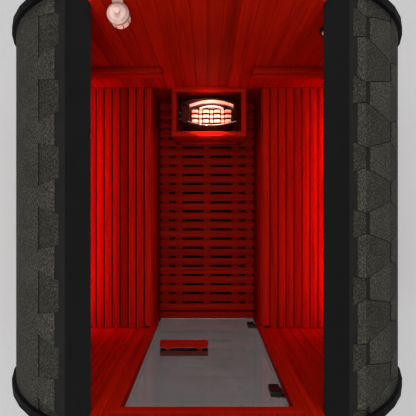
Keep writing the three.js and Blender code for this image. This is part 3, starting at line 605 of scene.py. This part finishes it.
def boards(x_edges, y0, y1, bottom, top, groove, seed):
    """Upright boards as one closed prism each: the section is a rectangle with cut corners, and its
    lower and upper ends follow the functions bottom(x) and top(x)."""
    draw = np.random.default_rng(seed)
    parts = []
    for x0, x1 in x_edges:
        x0, x1 = x0 + 0.15 * MM, x1 - 0.15 * MM
        inner = np.linspace(x0 + groove, x1 - groove, 4)
        xs = np.concatenate([[x0], inner, [x1], [x1], inner[::-1], [x0]])
        ys = np.concatenate([
            [y0 + groove], np.full(4, y0), [y0 + groove], [y1 - groove], np.full(4, y1), [y1 - groove]])
        rings = []
        for z in (bottom(xs), top(xs)):
            rings.append(np.stack([xs, ys, z + AXIS_Z], -1))
        parts.append(swept(np.stack(rings), draw.uniform(0, 1)))
    for (_, x), (after, _) in zip(x_edges[:-1], x_edges[1:]):
        if abs(after - x) > 0.1 * MM:
            continue
        xs = np.array([x - 0.14 * MM, x + 0.14 * MM, x + 0.14 * MM, x - 0.14 * MM])
        ys = np.array([y0 + 2 * groove, y0 + 2 * groove, y1 - 2 * groove, y1 - 2 * groove])
        lift = np.full(4, 2 * MM)
        rings = [np.stack([xs, ys, z + AXIS_Z], -1) for z in (bottom(xs) + lift, top(xs) - lift)]
        parts.append(swept(np.stack(rings), 0.0))
    return parts


def split_boards(x0, x1, pitch, start_at=0.0):
    """Edges of boards between two x positions, with joints at whole pitches from a start."""
    first = math.floor((x0 - start_at) / pitch) + 1
    joints = start_at + pitch * np.arange(first, math.ceil((x1 - start_at) / pitch))
    edges = np.concatenate([[x0], joints[(joints > x0 + 8 * MM) & (joints < x1 - 8 * MM)], [x1]])
    return list(zip(edges[:-1], edges[1:]))


def build_walls(sizes):
    """Back wall and front wall, boarded upright, with the doorway left free."""
    radius = INNER_FLAT - 0.6 * MM

    def arc(x):
        return np.sqrt(np.maximum(radius ** 2 - x ** 2, 0))

    def lower(x):
        return -arc(x)

    gable_half = low("edge_cap_right")[X] - 0.5 * MM
    gable = high("back_wall")[Z] - AXIS_Z

    def upper(x):
        raised = np.sqrt(np.maximum(gable ** 2 - x ** 2, 0))
        return np.where(np.abs(x) < gable_half, raised, np.minimum(arc(x), CUT_Z))

    pitch, groove = sizes.board_pitch, sizes.board_groove
    reach = radius - 4 * MM

    def wall_edges(x0, x1):
        stops = [x0, *[x for x in (-gable_half, gable_half) if x0 < x < x1], x1]
        return [edge for a, b in zip(stops[:-1], stops[1:]) for edge in split_boards(a, b, pitch)]

    new_piece("back_wall_boards", boards(
        wall_edges(-reach, reach), *WALL_BACK_Y, lower, upper, groove, 21),
        finish("stained_board"), replaces=["back_wall"])
    left, right = high("front_wall_left")[X], low("front_wall_right")[X]
    sill_top = high("front_wall_sill")[Z] - AXIS_Z
    head_foot = low("front_wall_head")[Z] - AXIS_Z
    inner = (left + 0.6 * MM, right - 0.6 * MM)
    for name, x0, x1, foot, top, seed in (
        ("left", -reach, left, lower, upper, 22), ("right", right, reach, lower, upper, 23),
        ("sill", *inner, lower, lambda x: np.full_like(x, sill_top), 24),
        ("head", *inner, lambda x: np.full_like(x, head_foot), upper, 25),
    ):
        new_piece(f"front_wall_{name}_boards", boards(
            wall_edges(x0, x1), *WALL_FRONT_Y, foot, top, groove, seed),
            finish("stained_board"), replaces=[f"front_wall_{name}"])


class SAUNA_OT_shell(bpy.types.Operator):
    """Build the staves of the barrel"""

    bl_idname = "sauna.shell"
    bl_label = "Staves"

    def execute(self, context):
        staves(-1, "left", context.scene.sauna_sizes)
        staves(1, "right", context.scene.sauna_sizes)
        return {"FINISHED"}


class SAUNA_OT_walls(bpy.types.Operator):
    """Build the boarded end walls"""

    bl_idname = "sauna.walls"
    bl_label = "End walls"

    def execute(self, context):
        build_walls(context.scene.sauna_sizes)
        return {"FINISHED"}


# ------------------------------------------------------------------------------ floor, benches, guard
def node_box(name):
    return np.array([low(name), high(name)])


def repeated(first, last, size, count):
    """Starts of a row of equal pieces that fills the stretch from first to last."""
    return first + np.arange(count) * (last - first - size) / (count - 1)


FLOOR_SLATS = 23
FLOOR_BATTENS_X = (-0.338, -0.23, 0, 0.23, 0.338)


def build_floor(sizes):
    """Cross slats on five lengthwise battens."""
    lo, hi = node_box("duckboard")
    slats = [[(lo[X], y, hi[Z] - sizes.slat_thickness), (hi[X], y + sizes.floor_slat, hi[Z])]
             for y in repeated(lo[Y], hi[Y], sizes.floor_slat, FLOOR_SLATS)]
    new_piece("floor_slats", bars(slats, X, sizes.edge_round, 31), finish("stained_slat_x"),
              replaces=["duckboard"])
    half = sizes.floor_batten / 2
    top = hi[Z] - sizes.slat_thickness - 0.2 * MM
    battens = [[(x - half, lo[Y], lo[Z]), (x + half, hi[Y], top)] for x in FLOOR_BATTENS_X]
    new_piece("floor_battens", bars(battens, Y, 2 * MM, 32), finish("stained_slat_y"))
    # The bearers under the floor are coloured near black as painted shade.
    coat([n for n in frame["nodes"] if n.startswith("floor_bearer")], "damp_bearer")


BENCH_SLATS = 10
BENCH_BATTENS = 4
BENCH_BATTEN_INSET = 67 * MM
BENCH_BATTEN_WIDTH = 45 * MM
LEDGER_WIDTH = 35 * MM


def build_bench(side, name, sizes):
    """Lengthwise slats on four cross battens and a ledger, with a boarded skirt below."""
    lo, hi = node_box(f"bench_top_{name}")
    near = min(abs(lo[X]), abs(hi[X]))
    pitch = sizes.bench_slat + sizes.bench_gap
    under = hi[Z] - sizes.bench_thickness
    slats = []
    for index in range(BENCH_SLATS):
        xs = sorted((side * (near + index * pitch), side * (near + index * pitch + sizes.bench_slat)))
        start_y = high("door_frame_left")[Y] + 0.6 * MM if index == 0 else lo[Y]
        slats.append([(xs[0], start_y, under), (xs[1], hi[Y], hi[Z])])
    new_piece(f"bench_slats_{name}", bars(slats, Y, 2 * MM, 41 + side), finish("stained_slat_y"),
              replaces=[f"bench_top_{name}"])
    skirt = node_box(f"bench_skirt_{name}")
    inner = max(abs(skirt[0][X]), abs(skirt[1][X])) + 3 * MM
    outer = math.sqrt(INNER_FLAT ** 2 - (under - AXIS_Z - 45 * MM) ** 2) - 6 * MM
    frame_z = (under - 40 * MM, under - 0.3 * MM)
    bearers = []
    first, last = lo[Y] + BENCH_BATTEN_INSET, hi[Y] - BENCH_BATTEN_INSET
    for y in repeated(first, last, BENCH_BATTEN_WIDTH, BENCH_BATTENS):
        xs = sorted((side * inner, side * outer))
        bearers.append([(xs[0], y, frame_z[0]), (xs[1], y + BENCH_BATTEN_WIDTH, frame_z[1])])
    new_piece(f"bench_bearers_{name}", bars(bearers, X, 2 * MM, 44 + side), finish("stained_slat_x"))
    rail_z = (under - 76 * MM, under - 40.5 * MM)
    edge = math.sqrt(INNER_FLAT ** 2 - (rail_z[0] - AXIS_Z) ** 2) - 1 * MM
    xs = sorted((side * (edge - LEDGER_WIDTH), side * edge))
    new_piece(f"bench_ledger_{name}", bars(
        [[(xs[0], lo[Y], rail_z[0]), (xs[1], hi[Y], rail_z[1])]], Y, 2 * MM, 46 + side),
        finish("stained_slat_y"))
    face = sorted((skirt[0][X], skirt[1][X]))
    foot = -math.sqrt(INNER_FLAT ** 2 - max(abs(face[0]), abs(face[1])) ** 2) + AXIS_Z + 2 * MM
    heights = np.linspace(skirt[1][Z], foot, 7)
    lengths = [[(face[0], skirt[0][Y], z1 + 1.5 * MM), (face[1], skirt[1][Y], z0)]
               for z0, z1 in zip(heights[:-1], heights[1:])]
    new_piece(f"bench_skirt_boards_{name}", bars(lengths, Y, 3 * MM, 48 + side),
              finish("stained_slat_y"), replaces=[f"bench_skirt_{name}"])


def build_rest(name):
    """The board on the back wall above a bench, its outer end trimmed to the staves."""
    lo, hi = node_box(f"back_rest_{name}")
    boards_z = np.linspace(lo[Z], hi[Z], 3)
    outer = math.sqrt(INNER_FLAT ** 2 - (hi[Z] - AXIS_Z) ** 2) - 2 * MM
    lo[X], hi[X] = max(lo[X], -outer), min(hi[X], outer)
    parts = [[(lo[X], lo[Y], z0 + 0.4 * MM), (hi[X], hi[Y], z1 - 0.4 * MM)]
             for z0, z1 in zip(boards_z[:-1], boards_z[1:])]
    new_piece(f"back_rest_boards_{name}", bars(parts, X, 4 * MM, 51), finish("stained_slat_x"),
              replaces=[f"back_rest_{name}"])


GUARD_MEMBER = 34 * MM
GUARD_RAIL = 58 * MM
GUARD_RAIL_PITCH = 66 * MM


def build_guard():
    """The slatted guard round the heater: top frame, posts and rails."""
    lo, hi = node_box("guard_top_frame")
    m = GUARD_MEMBER
    uprights, across, length_wise = [], [], []
    across += [[(lo[X], lo[Y], lo[Z]), (hi[X], lo[Y] + m, hi[Z])],
               [(lo[X], hi[Y] - m, lo[Z]), (hi[X], hi[Y], hi[Z])]]
    length_wise += [[(lo[X], lo[Y] + m, lo[Z]), (lo[X] + m, hi[Y] - m, hi[Z])],
                    [(hi[X] - m, lo[Y] + m, lo[Z]), (hi[X], hi[Y] - m, hi[Z])]]
    foot, top = low("guard_front")[Z], high("guard_front")[Z]
    for x in (lo[X], hi[X] - m):
        for y in (lo[Y], lo[Y] + m + 0.3 * MM, hi[Y] - m):
            uprights.append([(x, y, foot), (x + m, y + m, top)])
    rails = [top - i * GUARD_RAIL_PITCH for i in range(4)] + [foot + GUARD_RAIL]
    for z in rails:
        across.append([(lo[X] + m, lo[Y] + 2 * MM, z - GUARD_RAIL), (hi[X] - m, lo[Y] + 22 * MM, z)])
        for x in (lo[X] + 2 * MM, hi[X] - 22 * MM):
            length_wise.append([(x, lo[Y] + 2 * m, z - GUARD_RAIL), (x + 20 * MM, hi[Y] - m, z)])
    sides = ["guard_side_left", "guard_side_right"]
    new_piece("guard_posts", bars(uprights, Z, 3 * MM, 61), finish("stained_slat_z"),
              replaces=sides)
    new_piece("guard_cross_rails", bars(across, X, 3 * MM, 62), finish("stained_slat_x"),
              replaces=["guard_front", "guard_top_frame"])
    new_piece("guard_side_rails", bars(length_wise, Y, 3 * MM, 63), finish("stained_slat_y"),
              replaces=sides)


class SAUNA_OT_floor(bpy.types.Operator):
    """Build the slatted walking floor"""

    bl_idname = "sauna.floor"
    bl_label = "Floor"

    def execute(self, context):
        build_floor(context.scene.sauna_sizes)
        return {"FINISHED"}


class SAUNA_OT_benches(bpy.types.Operator):
    """Build the benches and the rests on the back wall"""

    bl_idname = "sauna.benches"
    bl_label = "Benches"

    def execute(self, context):
        for side, name in ((-1, "left"), (1, "right")):
            build_bench(side, name, context.scene.sauna_sizes)
            build_rest(name)
        return {"FINISHED"}


class SAUNA_OT_guard(bpy.types.Operator):
    """Build the guard round the heater"""

    bl_idname = "sauna.guard"
    bl_label = "Heater guard"

    def execute(self, context):
        build_guard()
        return {"FINISHED"}


# ------------------------------------------------------------------------------ heater
def arched(x, ends_y, rise):
    """The y of a shallow arch between its two ends: a parabola that stands out by the rise."""
    share = (x - x[0]) / (x[-1] - x[0])
    return ends_y + rise * 4 * share * (1 - share)


def arched_band(x0, x1, ends_y, rise, width, z0, z1, tone=0.5, steps=12):
    """A flat band carried along a shallow arch seen from above, rectangular across."""
    x = np.linspace(x0, x1, steps)
    y = arched(x, ends_y, rise)
    offsets = [(-width / 2, z0), (-width / 2, z1), (width / 2, z1), (width / 2, z0)]
    rings = np.stack([np.stack([x, y + o, np.full(steps, z)], -1) for o, z in offsets], 1)
    return swept(rings, tone)


def stone_block(centre, size, tone):
    """A split stone: an ellipsoid whose sines and cosines are raised to a power below one, which
    squares it up."""
    u = np.linspace(0, 2 * math.pi, 20, endpoint=False)
    v = np.linspace(-math.pi / 2, math.pi / 2, 11)[1:-1, None]

    def squared(value):
        return np.sign(value) * np.abs(value) ** 0.5

    points = np.stack([
        squared(np.cos(v)) * squared(np.cos(u)), squared(np.cos(v)) * squared(np.sin(u)),
        squared(np.sin(v)) + 0 * u], -1)
    return swept(points * np.asarray(size) + centre, tone)


def build_heater():
    """Steel case with an open well: an arched hood in seven parts, a second arch in front of it, three
    rows of stones with a bent element behind each wide one, a thin rim along the front edge, and a dark
    cover over the wiring box. The case, the tray and the cover share a near-black steel; in the well
    between the stones this dark is painted shade."""
    lo, hi = node_box("heater_case")
    tray_lo, tray_hi = node_box("heater_stone_tray")
    hood_lo, hood_hi = node_box("heater_hood")
    # The near-black steel of the case and tray is painted shade in the well between the stones.
    coat(["heater_case"], "heater_inside")
    coat(["heater_hood"], "heater_steel")
    coat(["heater_stone_tray"], "heater_inside")
    coat(["heater_controls"], "black_metal")
    draw = np.random.default_rng(71)
    pitch = 78 * MM
    wide = (tray_lo[X] + tray_hi[X]) / 2 - 1.5 * pitch + pitch * np.arange(4)
    columns = [(x, 46 * MM) for x in wide] + [(x, 24 * MM) for x in (wide[:-1] + wide[1:]) / 2]
    rows = tray_lo[Y] + 27 * MM + 34 * MM * np.arange(3)
    stones, elements = [], []
    for y in rows:
        for x, width in columns:
            height = 40 * MM if width > 30 * MM else 30 * MM
            size = np.array([width / 2, 11.5 * MM, height / 2]) * draw.uniform(0.93, 1.04, 3)
            stones.append(stone_block([x, y, tray_hi[Z] + 0.5 * MM + size[2]], size, draw.uniform(0, 1)))
        for x in wide:
            path_x = np.linspace(x - 25 * MM, x + 25 * MM, 15)
            path_y = arched(path_x, y + 12.5 * MM, 7 * MM)
            elements.append(tube(np.stack([path_x, path_y, np.full(15, tray_hi[Z] + 41 * MM)], -1),
                                 3.2 * MM, 8))
    new_piece("heater_stones", stones, finish("stone"), smooth=60)
    # The bent elements are coloured near black.
    new_piece("heater_elements", elements, finish("heater_dark"), smooth=60)
    rise = hood_hi[Y] - hood_lo[Y] - 22 * MM
    middle = hood_lo[Y] + 11 * MM
    edges = np.linspace(hood_lo[X] + 1 * MM, hood_hi[X] - 1 * MM, 8)
    centre = (edges[0] + edges[-1]) / 2
    half = edges[-1] - centre
    parts = []
    for x0, x1 in zip(edges[:-1] + 0.8 * MM, edges[1:] - 0.8 * MM):
        x = np.linspace(x0, x1, 4)
        y = middle + rise * (1 - ((x - centre) / half) ** 2)
        offsets = [(-10 * MM, 0.3 * MM), (-10 * MM, 4 * MM), (10 * MM, 4 * MM), (10 * MM, 0.3 * MM)]
        rings = np.stack([np.stack([x, y + o, np.full(4, hood_hi[Z] + h)], -1) for o, h in offsets], 1)
        parts.append(swept(rings, draw.uniform(0, 1)))
    new_piece("heater_hood_parts", parts, finish("pale_steel"))
    new_piece("heater_inner_arch", [
        arched_band(centre - 0.085, centre + 0.085, hood_lo[Y] - 8 * MM, 18 * MM, 14 * MM,
                    tray_hi[Z] + 0.5 * MM, hood_hi[Z] - 3 * MM)],
        finish("pale_steel"))
    rim_x = np.linspace(lo[X] + 46 * MM, hi[X] - 4 * MM, 14)
    front = arched(rim_x, tray_lo[Y] + 26 * MM - 4 * MM, -26 * MM)
    rim_path = np.stack([rim_x, front, np.full(14, hi[Z] - 1.0 * MM)], -1)
    new_piece("heater_front_rim", [tube(rim_path, 2.6 * MM, 8)], finish("band"),
              smooth=60)
    cover = [[(lo[X] + 5 * MM, tray_lo[Y] + 14 * MM, hi[Z] + 0.3 * MM),
              (lo[X] + 43 * MM, tray_lo[Y] + 132 * MM, hi[Z] + 2 * MM)]]
    new_piece("heater_box_cover", bars(cover, Y, 0.6 * MM, 72), finish("heater_inside"))


class SAUNA_OT_heater(bpy.types.Operator):
    """Build the heater with its stones"""

    bl_idname = "sauna.heater"
    bl_label = "Heater"

    def execute(self, context):
        build_heater()
        return {"FINISHED"}


# ------------------------------------------------------------------------------ door
class SAUNA_OT_door(bpy.types.Operator):
    """Finish the door, its frame and its metalwork"""

    bl_idname = "sauna.door"
    bl_label = "Door"

    def execute(self, context):
        build_door()
        return {"FINISHED"}


def build_door():
    """Jambs, head and sill, the glass with its clamps, and a pull on each face, wooden inside and black metal
    outside.
    """
    coat(["door_glass"], "glass")
    coat(["door_clamp_upper", "door_clamp_lower", "door_hinge_upper", "door_hinge_lower"], "black_metal")
    coat(["door_frame_left", "door_frame_right"], "stained_slat_z")
    coat(["door_frame_head", "door_frame_sill", "door_handle_inside"], "stained_slat_x")
    coat(["door_handle_outside"], "black_metal")


# ------------------------------------------------------------------------------ lamp, gauge, strips
def build_lamp_and_gauge():
    """Opal jar lamp in a wire cage, and a round gauge with two hands."""
    coat(["wall_lamp_body"], "enamel")
    coat(["wall_lamp_glass"], "opal")
    lo, hi = node_box("wall_lamp_glass")
    cx, cy = (lo[X] + hi[X]) / 2, (lo[Y] + hi[Y]) / 2
    r = (hi[X] - lo[X]) / 2 + 2.5 * MM
    cage = []
    for angle in np.radians([-150, -110, -70, -30, 30, 150]):
        t = np.linspace(0, 1, 14)
        out = r * np.minimum(1, np.sqrt(1 - (1 - np.minimum(t * 1.8, 1)) ** 2) + 0.12)
        cage.append(tube(np.stack([
            cx + out * np.cos(angle), cy + out * np.sin(angle), lo[Z] - 3 * MM + t * (hi[Z] - lo[Z])], -1),
            1.5 * MM, 8))
    turn = np.linspace(0, 2 * math.pi, 48, endpoint=False)
    for z, ring in ((lo[Z] + 26 * MM, r), (lo[Z] + 4 * MM, r * 0.62)):
        cage.append(tube(np.stack([cx + ring * np.cos(turn), cy + ring * np.sin(turn), z + 0 * turn], -1),
                         1.5 * MM, 8, True))
    new_piece("wall_lamp_cage", cage, finish("black_metal"), smooth=60)
    lo, hi = node_box("thermometer")
    centre = (lo + hi) / 2
    r = (hi[X] - lo[X]) / 2
    face = lo[Y]
    coat(["thermometer"], "dial_rim")
    new_piece("gauge_dial", [turned([(0.01 * MM, -1.4 * MM), (r * 0.84, -1.4 * MM), (r * 0.84, -0.2 * MM),
                                     (0.01 * MM, -0.2 * MM)][::-1], [centre[X], face, centre[Z]], Y)],
              finish("dial"))
    hands = []
    for angle, reach in ((0.7, 0.62), (-1.9, 0.5)):
        t = np.linspace(-0.12, reach, 6) * r
        hands.append(tube(np.stack([
            centre[X] + t * math.sin(angle), np.full(6, face - 3.0 * MM), centre[Z] + t * math.cos(angle)],
            -1), 1.1 * MM, 8))
    turn = np.linspace(0, 2 * math.pi, 64, endpoint=False)
    hands.append(tube(np.stack([centre[X] + 0.92 * r * np.cos(turn), np.full(64, face - 1 * MM),
                                centre[Z] + 0.92 * r * np.sin(turn)], -1), 3 * MM, 10, True))
    new_piece("gauge_hands_and_rim", hands, finish("dial_rim"), smooth=60)


class SAUNA_OT_lamp(bpy.types.Operator):
    """Build the wall lamp, the gauge and the light strips"""

    bl_idname = "sauna.lamp"
    bl_label = "Lamp and gauge"

    def execute(self, context):
        build_lamp_and_gauge()
        coat(["light_strip_left", "light_strip_right"], "glow")
        return {"FINISHED"}


# ------------------------------------------------------------------------------ roof
def plate(left, right, angles, radius, thickness, tone, lift=0.0, columns=7):
    """A thin sheet bent round the barrel: for each angle down the roof its left and right edges are
    given in y, and points between them are spread evenly. It is closed by an under-surface and rims,
    and its lower edge is lifted a little so that it laps over what lies below."""
    share = np.linspace(0, 1, columns)[None, :]
    y = left[:, None] + (right - left)[:, None] * share
    down = np.linspace(0, 1, len(angles))[:, None] ** 2 * lift
    outer = on_barrel(radius + thickness + down, angles[:, None], y)
    inner = on_barrel(radius + down * 0.6, angles[:, None], y)
    rows, count = y.shape
    top = np.arange(rows * count).reshape(rows, count)
    under = top + rows * count
    faces = grid_faces(rows, count).tolist()
    faces += (grid_faces(rows, count)[:, ::-1] + rows * count).tolist()
    loop = np.concatenate([top[0, :-1], top[:-1, -1], top[-1, :0:-1], top[:0:-1, 0]])
    loop_under = np.concatenate([under[0, :-1], under[:-1, -1], under[-1, :0:-1], under[:0:-1, 0]])
    faces += np.stack([np.roll(loop, -1), loop, loop_under, np.roll(loop_under, -1)], -1).tolist()
    side = np.sign(angles.mean())
    if side < 0:
        faces = [f[::-1] for f in faces]
    points = np.concatenate([outer.reshape(-1, 3), inner.reshape(-1, 3)])
    return points, faces, np.concatenate([np.ravel(tone + 0 * y)] * 2)


def tab(side, centre, a0, a1, w0, w1, radius, thickness, tone, limit, lift=0.0):
    """One tab whose width goes in a straight line from w0 at angle a0 to w1 at angle a1, cut off at the
    ends of the roof."""
    at = np.linspace(a0, a1, 5)
    width = w0 + (w1 - w0) * (at - a0) / (a1 - a0)
    left = np.maximum(centre - width / 2, -limit)
    right = np.minimum(centre + width / 2, limit)
    if np.any(right - left < 1 * MM):
        return []
    return [plate(left, right, side * at, radius, thickness, tone, lift)]


def hexagon_rows(side, sizes, limit):
    """Six-cornered tabs laid like a honeycomb. A tab is narrow at its top and foot and widest at its
    middle; the next row down starts at the middle of this one, half a pitch along. The granules are
    lighter above the middle, and the tabs of the first row are mostly hidden under the edge cap."""
    pitch = sizes.shingle_pitch
    narrow, wide = 0.31 * pitch, 0.69 * pitch
    half_row = math.radians(13.5)
    draw = np.random.default_rng(81)
    base = OUTER_FLAT / TO_FLAT + 2.0 * MM
    edges = (math.radians(36.0), math.radians(34.4))
    parts = []
    for row in range(-1, 5):
        middle = math.radians(39.0) + row * half_row
        odd = row % 2
        for index in range(-5, 6):
            centre = 0.069 + (index + 0.5 * odd) * pitch
            top, foot = middle - half_row, middle + half_row
            spread_tone = draw.uniform(-0.06, 0.06)
            halves = ((top, middle, narrow, wide, 0.95), (middle, foot, wide, narrow, 0.5))
            for a0, a1, w0, w1, tone in halves:
                b0 = max(a0 + (0.034 if a0 == top else 0.0), edges[odd])
                b1 = min(a1, math.pi / 2 - 2 * MM)
                if b1 - b0 < 0.01:
                    continue
                v0, v1 = (w0 + (w1 - w0) * (b - a0) / (a1 - a0) - 4 * MM for b in (b0, b1))
                if row == -1:
                    tone = 0.4
                parts += tab(side, centre, b0, b1, v0, v1, base, sizes.shingle_thickness,
                             tone + spread_tone, limit, 1.2 * MM)
    return parts


def strip_rows(side, sizes, limit):
    """The other side: full courses that lap downwards, and above them a row of tabs that narrow
    downwards, with a recess between each two, darkened by painted shade, and a black slot below it."""
    pitch = sizes.shingle_pitch
    base = OUTER_FLAT / TO_FLAT + 2.0 * MM
    draw = np.random.default_rng(82)
    slot_at, top, recess_top = math.radians(43.0), math.radians(36.7), math.radians(35.2)
    courses = np.radians([43.8, 57.0, 70.5, 89.9])
    parts = []
    for row, (a0, a1) in enumerate(zip(courses[:-1], courses[1:])):
        for index in range(-4, 5):
            centre = 0.045 + (index + 0.5 * (row % 2)) * pitch
            parts += tab(side, centre, a0, a1, pitch - 1 * MM, pitch - 1 * MM, base + 0.8 * MM,
                         sizes.shingle_thickness, 0.78 + draw.uniform(-0.05, 0.05), limit, 1.5 * MM)
    for index in range(-4, 5):
        centre = 0.045 + index * pitch
        tone = draw.uniform(-0.05, 0.05)
        parts += tab(side, centre, top, slot_at + 0.016, 0.49 * pitch, 0.32 * pitch, base + 0.8 * MM,
                     sizes.shingle_thickness, 0.84 + tone, limit)
        # The recess tab's low tone is painted shade in the recess.
        parts += tab(side, centre + 0.5 * pitch, recess_top, slot_at, 0.46 * pitch, 0.66 * pitch, base,
                     2 * MM, 0.42 + tone, limit)
    return parts


def build_roof(sizes):
    """Underlay felt and the shingles on each side."""
    limit = min(-COVER_Y[0], COVER_Y[1])
    cut = math.acos(CUT_Z / (OUTER_FLAT + 4 * MM)) + 0.006
    for side, name, rows in ((-1, "left", strip_rows), (1, "right", hexagon_rows)):
        angles = np.linspace(cut, math.pi / 2 - 1 * MM, 40)
        edge = np.full(40, limit)
        felt = plate(-edge, edge, side * angles, OUTER_FLAT / TO_FLAT + 0.3 * MM, 1.6 * MM, 0.5, 0.0, 9)
        new_piece(f"roof_felt_{name}", [felt], finish("felt"),
                  replaces=[f"roof_cover_{name}"])
        new_piece(f"shingles_{name}", rows(side, sizes, limit), finish("shingle"))


class SAUNA_OT_roof(bpy.types.Operator):
    """Build the felt and the shingles"""

    bl_idname = "sauna.roof"
    bl_label = "Roof covering"

    def execute(self, context):
        build_roof(context.scene.sauna_sizes)
        coat([n for n in frame["nodes"] if n.startswith(("end_trim", "edge_cap"))], "trim")
        coat(["steel_band_front", "steel_band_back"], "band")
        coat(["cradle_front", "cradle_back"], "cradle")
        return {"FINISHED"}


# ------------------------------------------------------------------------------ stage
def area_light(name, place, target, size, power, tint=(1, 1, 1), size_y=None):
    light = bpy.data.lights.new(name, "AREA")
    light.shape = "RECTANGLE" if size_y else "SQUARE"
    light.size = size
    if size_y:
        light.size_y = size_y
    light.energy = power
    light.color = tint
    lamp = bpy.data.objects.new(name, light)
    lamp.location = place
    lamp.rotation_euler = (Vector(target) - Vector(place)).to_track_quat("-Z", "Y").to_euler()
    bpy.context.scene.collection.objects.link(lamp)
    return lamp


class SAUNA_OT_stage(bpy.types.Operator):
    """Set up the floor, the lights and the camera"""

    bl_idname = "sauna.stage"
    bl_label = "Stage"

    def execute(self, context):
        scene = context.scene
        material = painted("Pale_matt_studio_floor", linear("#cacaca"), 0.85, 4 * MM,
                           unevenness=0.01, gloss=0.1)
        half = 14.0
        mesh = bpy.data.meshes.new("studio_floor")
        mesh.from_pydata([(-half, -half, 0), (half, -half, 0), (half, half, 0), (-half, half, 0)], [],
                         [(0, 1, 2, 3)])
        mesh.materials.append(material)
        floor = bpy.data.objects.new("studio_floor", mesh)
        scene.collection.objects.link(floor)
        world = bpy.data.worlds.new("studio_air")
        world.use_nodes = True
        world.node_tree.nodes["Background"].inputs["Color"].default_value = (1, 1, 1, 1)
        world.node_tree.nodes["Background"].inputs["Strength"].default_value = 0.24
        scene.world = world
        area_light("soft_top", (0, 0, 6.5), (0, 0, 0), 4.0, 125)
        area_light("soft_front", (0, -4.2, 5.2), (0, 0, 1.2), 2.6, 125)
        area_light("soft_back", (0, 4.2, 5.2), (0, 0, 1.2), 2.6, 170)
        area_light("soft_key", (-5.0, -2.5, 4.0), (0, 0, 1.0), 3.0, 72)
        area_light("soft_fill", (5.0, 2.5, 4.0), (0, 0, 1.0), 3.0, 44)
        heater_lamp = area_light("heater_lamp", (0.013, 0.35, AXIS_Z + 0.6), (0.013, 0.65, AXIS_Z - 0.4), 0.1,
                                 1.5, (1, 0.3, 0.22))
        heater_lamp.data.spread = math.radians(20)
        heater_lamp.visible_camera = False
        glow = tuple(context.scene.sauna_colours.glow)
        for side in (-1, 1):
            place, target = (side * 0.985, 0, AXIS_Z - 0.17), (side * 0.86, 0, AXIS_Z - 0.36)
            area_light(f"bench_glow_{side}", place, target,
                       1.5, 6.5, glow, 0.02)
        camera = bpy.data.cameras.new("camera")
        camera.sensor_width = 36.0
        camera.lens = 38.6
        camera.shift_x, camera.shift_y = 0.0022, -0.0038
        camera.clip_end = 60.0
        eye = bpy.data.objects.new("camera", camera)
        eye.location = (0.0, 0.0, AXIS_Z + 2.798)
        scene.collection.objects.link(eye)
        scene.camera = eye
        scene.view_settings.view_transform = "Standard"
        return {"FINISHED"}


# ------------------------------------------------------------------------------ add-on
OPERATORS = (
    SAUNA_OT_shell, SAUNA_OT_walls, SAUNA_OT_floor, SAUNA_OT_benches, SAUNA_OT_guard, SAUNA_OT_heater,
    SAUNA_OT_door, SAUNA_OT_lamp, SAUNA_OT_roof, SAUNA_OT_stage,
)


class SAUNA_PT_panel(bpy.types.Panel):
    """The sauna's pieces, sizes and colours"""

    bl_idname = "SAUNA_PT_panel"
    bl_label = "Barrel sauna"
    bl_space_type = "VIEW_3D"
    bl_region_type = "UI"
    bl_category = "Sauna"

    def draw(self, context):
        for group in (context.scene.sauna_sizes, context.scene.sauna_colours):
            box = self.layout.box()
            for key in group.__annotations__:
                box.prop(group, key)
        for operator in OPERATORS:
            self.layout.operator(operator.bl_idname)


CLASSES = (SaunaSizes, SaunaColours, *OPERATORS, SAUNA_PT_panel)


def register():
    for cls in CLASSES:
        bpy.utils.register_class(cls)
    bpy.types.Scene.sauna_sizes = bpy.props.PointerProperty(type=SaunaSizes)
    bpy.types.Scene.sauna_colours = bpy.props.PointerProperty(type=SaunaColours)


def unregister():
    del bpy.types.Scene.sauna_colours
    del bpy.types.Scene.sauna_sizes
    for cls in reversed(CLASSES):
        bpy.utils.unregister_class(cls)


def main():
    """Registers the add-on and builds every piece."""
    register()
    for operator in OPERATORS:
        group, name = operator.bl_idname.split(".")
        getattr(getattr(bpy.ops, group), name)()


if __name__ == "__main__":
    main()
